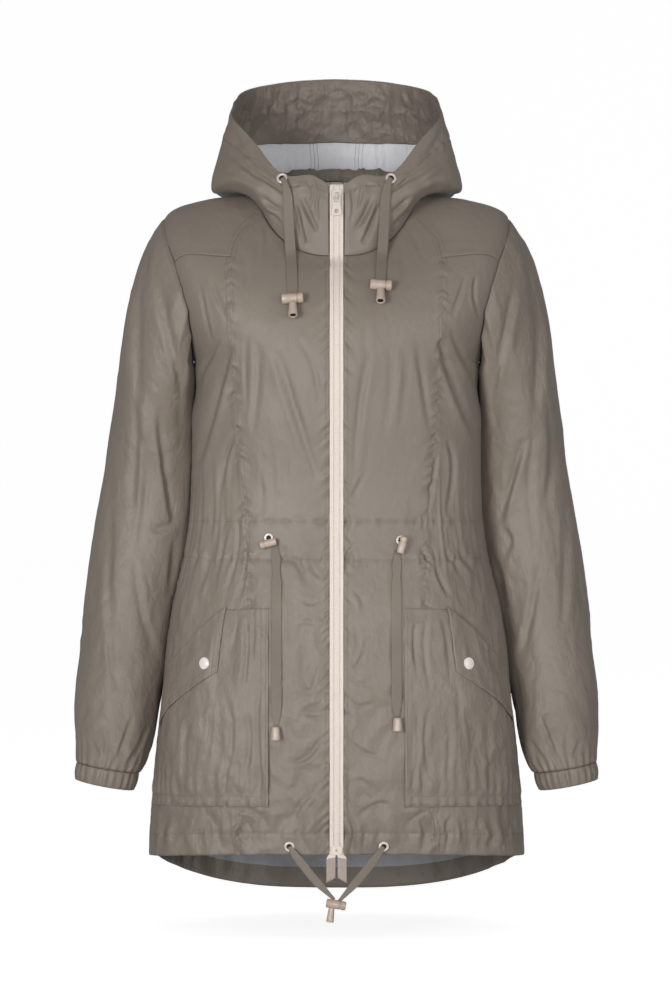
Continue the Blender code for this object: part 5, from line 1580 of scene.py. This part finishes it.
def make_locks_and_ends(plastic, dark):
    """Make the cord locks and ends where the cords carry them, and list them by cord."""
    # The second material is the near-black painted shade, used in the mouths of the cord ends.
    both = (plastic, dark)
    carried = {}
    for side, word in ((1, "_left"), (-1, "_right")):
        points, along, across, out = (values[-1] for values in cord_frame("hood", side))
        radius = LOCK_RADIUS["hood"]
        barrel = points + along * (radius - LOCK_SEAT) + out * (radius + LIE_GAP - CORD_LIFT / 2)
        lock = add_lock("hood", word, barrel, -across, both)
        end = add_end("hood", word, barrel + along * (radius + LIE_GAP), along, both)
        carried["hood", side] = [lock, end]
        points, along, across, out = (values[-1] for values in cord_frame("waist", side))
        start = points + along * LIE_GAP + out * (END_RADIUS["waist"] - CORD_LIFT / 2)
        end = add_end("waist", word, start, along, both)
        reach, height, lean = WAIST_LOCK[side]
        angle, level = front_spot(reach, height)
        normal = surface_normal(torso, np.array(angle), np.array(level))
        lift = EYELET_LIFT["waist"] + EYELET_THICK + 2 * LIE_GAP + LOCK_RADIUS["waist"]
        mirror = np.array((side, 1.0, 1.0))
        spot = (torso(angle, level) + normal * lift) * mirror
        lock = add_lock("waist", word, spot, mirror * lean_axis(lean), both)
        carried["waist", side] = [lock, end]
    lock = add_lock("hem", "", HEM_LOCK, lean_axis(HEM_LOCK_LEAN), both)
    end = add_end("hem", "", np.array(HEM_END) + (0.0004, 0.0, 0.0022), HEM_END_AXIS, both)
    carried["hem", 1] = [lock, end]
    carried["hem", -1] = []
    return carried


def tape_width(place, share):
    """Give a tape's width along its run: drawn together where it leaves the eyelet and at its end."""
    knots = {
        "hood": ((0.0, 0.45), (0.06, 0.62), (0.16, 0.95), (0.30, 1.0), (0.92, 1.0), (1.0, 0.86)),
        "waist": ((0.0, 0.60), (0.06, 0.95), (0.13, 0.70), (0.20, 0.98), (0.88, 1.0), (0.95, 0.78),
                  (1.0, 0.42)),
        "hem": ((0.0, 0.45), (0.12, 0.80), (0.30, 1.0), (0.70, 0.95), (1.0, 0.42)),
    }[place]
    at, wide = zip(*knots)
    return CORD_WIDTH[place] * np.interp(share, at, wide)


def make_cords(tape):
    turn = np.linspace(0, 2 * math.pi, 20, endpoint=False)
    wide = np.sign(np.cos(turn)) * np.abs(np.cos(turn)) ** 0.6
    bulge = 0.40 + 0.75 * np.abs(wide) ** 1.5 * (1.3 - np.abs(wide))
    thick = np.sign(np.sin(turn)) * np.abs(np.sin(turn)) ** 0.6 * bulge
    share = np.linspace(0, 1, CORD_ROWS)
    faces = grid_faces(CORD_ROWS, len(turn), True).tolist()
    faces.append(list(range(len(turn)))[::-1])
    faces.append(list(range((CORD_ROWS - 1) * len(turn), CORD_ROWS * len(turn))))
    for side, word in SIDES:
        for place in CORD_WIDTH:
            points, along, across, out = cord_frame(place, side)
            points[0] -= along[0] * CORD_TUCK[place][0]
            points[-1] += along[-1] * CORD_TUCK[place][1]
            width = tape_width(place, share)
            ripple = 0.0004 * line_noise(share * 14 + 5 * side, 101)
            spread = points[:, None] + across[:, None] * (width[:, None, None] / 2 * wide[None, :, None])
            rows = spread + out[:, None] * (CORD_THICK / 2 * thick[None, :, None] + ripple[:, None, None])
            name = f"cord_{place}_{word}"
            made = add_mesh(name + "_tape", rows, faces, (tape,))
            dress(made, name)


def outline_piece(name, outline, holes, thick, spot, material, bevel):
    """Add a flat piece cut to an outline with holes, its edges rounded. The outline is in x and z."""
    curve = bpy.data.curves.new(name, "CURVE")
    curve.dimensions = "2D"
    curve.fill_mode = "BOTH"
    curve.extrude = thick / 2 - bevel
    curve.bevel_depth = bevel
    curve.bevel_resolution = 2
    curve.offset = -bevel
    for loop in [outline] + holes:
        spline = curve.splines.new("POLY")
        spline.points.add(len(loop) - 1)
        for point, (x, z) in zip(spline.points, loop):
            point.co = (x, z, 0.0, 1.0)
        spline.use_cyclic_u = True
    shape = bpy.data.objects.new(name, curve)
    mesh = bpy.data.meshes.new_from_object(shape)
    bpy.data.objects.remove(shape)
    points = np.array([vertex.co for vertex in mesh.vertices])
    points = np.stack((points[:, 0], -points[:, 2], points[:, 1]), axis=-1) + np.asarray(spot)
    faces = [tuple(face.vertices) for face in mesh.polygons]
    made = add_mesh(name, points, faces, (material,))
    made.data.set_sharp_from_angle(angle=math.radians(45))
    return made


def round_loop(x, z, radius):
    """Give a circle's points."""
    return [(x + radius * math.cos(turn), z + radius * math.sin(turn))
            for turn in np.linspace(0, 2 * math.pi, 28, endpoint=False)]


def mirrored_outline(half):
    """Give a whole outline from its right half, listed from top to bottom."""
    smooth = along_path(np.array(half), 40)
    return [tuple(point) for point in smooth] + [(-x, z) for x, z in smooth[::-1]]


def make_slider(metal):
    """Make the zip slider with its long narrow bridge, and the pull tab with its eye."""
    low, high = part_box("zip_slider")
    back = high[1]
    middle = (low[2] + high[2]) / 2
    body = mirrored_outline(
        ((0.0015, 0.0068), (0.0040, 0.0067), (0.0054, 0.0052), (0.0056, 0.0020), (0.0047, -0.0030),
         (0.0044, -0.0056), (0.0034, -0.0067), (0.0014, -0.0069)))
    plate = outline_piece("zip_slider_plate", body, [], 0.0026, (0.0, back - 0.0013, middle), metal, 0.0005)
    dress(plate, "zip_slider")
    turn = np.linspace(0, math.pi, 21)
    depth = low[1] + 0.0008 + 0.0034 * (1 - np.sin(turn) ** 0.5)
    arch = np.stack((0 * turn, depth, middle - 0.0036 * np.cos(turn)), axis=-1)
    bar = add_bar("zip_slider_bridge", arch, (0.0014, 0.00065), metal)
    attach(bar)
    low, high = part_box("zip_pull")
    face = (low[1] + high[1]) / 2
    top = high[2]
    tab = mirrored_outline(
        ((0.0008, 0.0), (0.0030, -0.0002), (0.0043, -0.0014), (0.0046, -0.0040), (0.0044, -0.0082),
         (0.0047, -0.0130), (0.0058, -0.0168), (0.0061, -0.0196), (0.0052, -0.0222), (0.0030, -0.0233),
         (0.0008, -0.0235)))
    window = mirrored_outline(((0.0004, -0.0017), (0.0022, -0.0019), (0.0029, -0.0030), (0.0028, -0.0066),
                               (0.0020, -0.0079), (0.0004, -0.0081)))
    eye = round_loop(0.0, -0.0183, 0.0022)
    pull = outline_piece("zip_pull_tab", tab, [window, eye], 0.0016, (0.0, face, top), metal, 0.0004)
    dress(pull, "zip_pull", body="pull")


def add_bar(name, path, half, material):
    """Add a bar with an oval section along a path that lies in the plane of Y and Z."""
    along = unit(np.gradient(path, axis=0))
    side = np.array((1.0, 0.0, 0.0))
    out = np.cross(along, side)
    turn = np.linspace(0, 2 * math.pi, 12, endpoint=False)
    rows = path[:, None] + half[0] * np.cos(turn)[None, :, None] * side
    rows = rows + half[1] * np.sin(turn)[None, :, None] * out[:, None]
    faces = grid_faces(len(path), 12, True).tolist()
    faces += [list(range(12))[::-1], list(range((len(path) - 1) * 12, len(path) * 12))]
    return add_mesh(name, rows, faces, (material,))


def make_stitching(sewing, thread):
    """Make the stitches on every line of sewing, as one joined mesh of short bars."""
    bars = []
    for path, face in sewing:
        distance = distance_along(path)
        at = np.arange(STITCH_PITCH / 2, distance[-1] - STITCH_LENGTH, STITCH_PITCH)
        begin = read_along(path, distance, at)
        end = read_along(path, distance, at + STITCH_LENGTH)
        out = unit(read_along(face, distance, at + STITCH_LENGTH / 2))
        side = unit(np.cross(end - begin, out))
        for middle, lift, thick in ((begin, 0.0, 0.5), ((begin + end) / 2, 0.6, 1.0), (end, 0.0, 0.5)):
            middle = middle + out * lift * STITCH_RADIUS
            reach = thick * STITCH_RADIUS
            corners = (middle + side * reach, middle + out * reach, middle - side * reach)
            bars.append(np.stack(corners, axis=1))
    rings = [np.concatenate(bars[first::3]) for first in range(3)]
    points = np.stack(rings, axis=1)
    skin = grid_faces(3, 3, True)
    faces = skin[None] + 9 * np.arange(len(points))[:, None, None]
    made = add_mesh("stitching", points, faces.reshape(-1, 4).tolist(), (thread,))
    attach(made)


def start_material(name):
    """Make a material, and give it with its node tree and its shader."""
    material = bpy.data.materials.new(name)
    material.use_nodes = True
    tree = material.node_tree
    return material, tree, tree.nodes["Principled BSDF"]


def add_noise(tree, scale, detail, stretch=(1.0, 1.0, 1.0)):
    """Add a noise texture in the object's own coordinates and give its value."""
    place = tree.nodes.new("ShaderNodeTexCoord")
    shape = tree.nodes.new("ShaderNodeMapping")
    shape.inputs["Scale"].default_value = stretch
    tree.links.new(place.outputs["Object"], shape.inputs["Vector"])
    texture = tree.nodes.new("ShaderNodeTexNoise")
    texture.inputs["Scale"].default_value = scale
    texture.inputs["Detail"].default_value = detail
    tree.links.new(shape.outputs["Vector"], texture.inputs["Vector"])
    return texture.outputs["Fac"]


def add_creases(tree, scale, stretch):
    """Add sharp crumples, and give their height as a value."""
    value = add_noise(tree, scale, 2.5, stretch)
    centred = tree.nodes.new("ShaderNodeMath")
    centred.operation = "SUBTRACT"
    centred.inputs[1].default_value = 0.5
    tree.links.new(value, centred.inputs[0])
    sharp = tree.nodes.new("ShaderNodeMath")
    sharp.operation = "ABSOLUTE"
    tree.links.new(centred.outputs["Value"], sharp.inputs[0])
    return sharp.outputs["Value"]


def more_below(tree, value, top, bottom):
    """Weaken a value over one height and keep it whole under another."""
    place = tree.nodes.new("ShaderNodeTexCoord")
    parts = tree.nodes.new("ShaderNodeSeparateXYZ")
    tree.links.new(place.outputs["Object"], parts.inputs["Vector"])
    share = tree.nodes.new("ShaderNodeMapRange")
    share.inputs["From Min"].default_value = top
    share.inputs["From Max"].default_value = bottom
    share.inputs["To Min"].default_value = 0.4
    tree.links.new(parts.outputs["Z"], share.inputs["Value"])
    product = tree.nodes.new("ShaderNodeMath")
    product.operation = "MULTIPLY"
    tree.links.new(value, product.inputs[0])
    tree.links.new(share.outputs["Result"], product.inputs[1])
    return product.outputs["Value"]


def mix_colours(tree, factor, dark, light):
    """Add a ramp that turns a value into a colour between two."""
    ramp = tree.nodes.new("ShaderNodeValToRGB")
    ramp.color_ramp.elements[0].position = 0.32
    ramp.color_ramp.elements[0].color = (*dark, 1.0)
    ramp.color_ramp.elements[1].position = 0.68
    ramp.color_ramp.elements[1].color = (*light, 1.0)
    tree.links.new(factor, ramp.inputs["Fac"])
    return ramp.outputs["Color"]


def add_bump(tree, height, distance, below=None):
    """Add a bump from a height, on top of another bump if there is one."""
    bump = tree.nodes.new("ShaderNodeBump")
    bump.inputs["Strength"].default_value = 1.0
    bump.inputs["Distance"].default_value = distance
    tree.links.new(height, bump.inputs["Height"])
    if below is not None:
        tree.links.new(below, bump.inputs["Normal"])
    return bump.outputs["Normal"]


def cloth_material(name, dark, light, roughness, wrinkle, calm_top):
    """Make a woven cloth: broad changes of tone, crumples that may be calmer high up, and a fine weave."""
    material, tree, shader = start_material(name)
    tone = mix_colours(tree, add_noise(tree, 9.0, 4.0), dark, light)
    tree.links.new(tone, shader.inputs["Base Color"])
    shader.inputs["Roughness"].default_value = roughness
    shader.inputs["Sheen Weight"].default_value = 0.08
    shader.inputs["Sheen Roughness"].default_value = 0.45
    shader.inputs["Specular IOR Level"].default_value = 0.42
    below = None
    for scale, share in ((24.0, 2.6), (58.0, 1.7), (135.0, 0.8)):
        height = add_creases(tree, scale, (1.0, 1.0, 0.62))
        if calm_top:
            height = more_below(tree, height, -0.38, -0.52)
        below = add_bump(tree, height, share * wrinkle, below)
    fine = add_bump(tree, add_noise(tree, 1100.0, 1.0), 0.00006, below)
    tree.links.new(fine, shader.inputs["Normal"])
    return material


def plain_material(name, dark, light, roughness, metallic, scale, coat):
    """Make an even finish with a slight change of tone."""
    material, tree, shader = start_material(name)
    tone = mix_colours(tree, add_noise(tree, scale, 3.0), dark, light)
    tree.links.new(tone, shader.inputs["Base Color"])
    shader.inputs["Roughness"].default_value = roughness
    shader.inputs["Metallic"].default_value = metallic
    shader.inputs["Coat Weight"].default_value = coat
    return material


def make_materials():
    """Make every material by name."""
    looks = {name: cloth_material("parka_" + name, *values) for name, values in CLOTHS.items()}
    looks.update({name: plain_material("parka_" + name, *values) for name, values in FINISHES.items()})
    return looks


def make_stage():
    """Make the pale floor and backdrop as one swept sheet."""
    run = [(-FLOOR_REACH, FLOOR), (BACKDROP_START, FLOOR)]
    for turn in np.linspace(0, math.pi / 2, 14)[1:]:
        run.append((BACKDROP_START + SWEEP * math.sin(turn), FLOOR + SWEEP * (1 - math.cos(turn))))
    run.append((BACKDROP_START + SWEEP, FLOOR_REACH))
    points = [(side, y, z) for y, z in run for side in (-FLOOR_REACH, FLOOR_REACH)]
    faces = [(2 * row, 2 * row + 1, 2 * row + 3, 2 * row + 2) for row in range(len(run) - 1)]
    paint, _, shader = start_material("stage_white")
    shader.inputs["Base Color"].default_value = (0.80, 0.80, 0.80, 1.0)
    shader.inputs["Roughness"].default_value = 0.9
    shader.inputs["Emission Color"].default_value = (1.0, 1.0, 1.0, 1.0)
    shader.inputs["Emission Strength"].default_value = STAGE_GLOW
    sweep = add_mesh("stage_sweep", points, faces, (paint,))
    sweep.visible_diffuse = False
    sweep.visible_glossy = False


def add_light(name, spot, target, size, spread, power):
    """Add a soft area light that points at a target and fades out to the sides of its spread."""
    light = bpy.data.lights.new(name, "AREA")
    light.shape = "RECTANGLE"
    light.size, light.size_y = size
    light.spread = math.radians(spread)
    light.energy = power
    lamp = bpy.data.objects.new(name, light)
    lamp.location = spot
    toward = Vector(target) - Vector(spot)
    lamp.rotation_euler = toward.to_track_quat("-Z", "Y").to_euler()
    bpy.context.scene.collection.objects.link(lamp)


def make_light():
    """Make the soft studio light and the even surroundings."""
    for light in LIGHTS:
        add_light(*light)
    world = bpy.data.worlds.new("studio")
    world.use_nodes = True
    sky = world.node_tree.nodes["Background"]
    sky.inputs["Color"].default_value = (1.0, 1.0, 1.0, 1.0)
    sky.inputs["Strength"].default_value = SURROUND
    bpy.context.scene.world = world
    bpy.context.scene.view_settings.view_transform = "Standard"


def make_camera():
    """Make a level camera that sees the garment as the photograph does."""
    lens = bpy.data.cameras.new("photo_camera")
    lens.sensor_fit = "AUTO"
    lens.angle = 2 * math.atan(PICTURE_SIZE[1] / 2 * PIXEL / EYE_BACK)
    lens.clip_start = 0.05
    eye = bpy.data.objects.new("photo_camera", lens)
    eye.location = (EYE_SIDE, -EYE_BACK, EYE_HEIGHT)
    eye.rotation_euler = (math.pi / 2, 0.0, 0.0)
    bpy.context.scene.collection.objects.link(eye)
    bpy.context.scene.camera = eye


def main():
    """Build the scene."""
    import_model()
    looks = make_materials()
    sewing = []
    # The reverse for the torso and sleeves and the hem facing are darker copies of their cloths: painted
    # shade.
    make_torso_cloth(looks["shell"], looks["reverse"], looks["shaded_hem_facing"], sewing)
    make_sleeve_cloth(looks["sleeve"], looks["reverse"], sewing)
    make_hood_cloth(looks["shell"], looks["hood_reverse"], looks["facing"], sewing)
    make_patch_cloth(looks["shell"], sewing)
    make_stitching(sewing, looks["thread"])
    make_zip(looks["zip_tape"], looks["shaded_zip_tail"], looks["shaded_zip_tooth"])
    make_slider(looks["zip_metal"])
    make_eyelets(looks["eyelet_metal"], looks["painted_hole_shade"])
    make_snaps(looks["snap"])
    carried = make_locks_and_ends(looks["tan_plastic"], looks["painted_hole_shade"])
    make_cords(looks["cord"])
    make_stage()
    make_light()
    make_camera()


main()
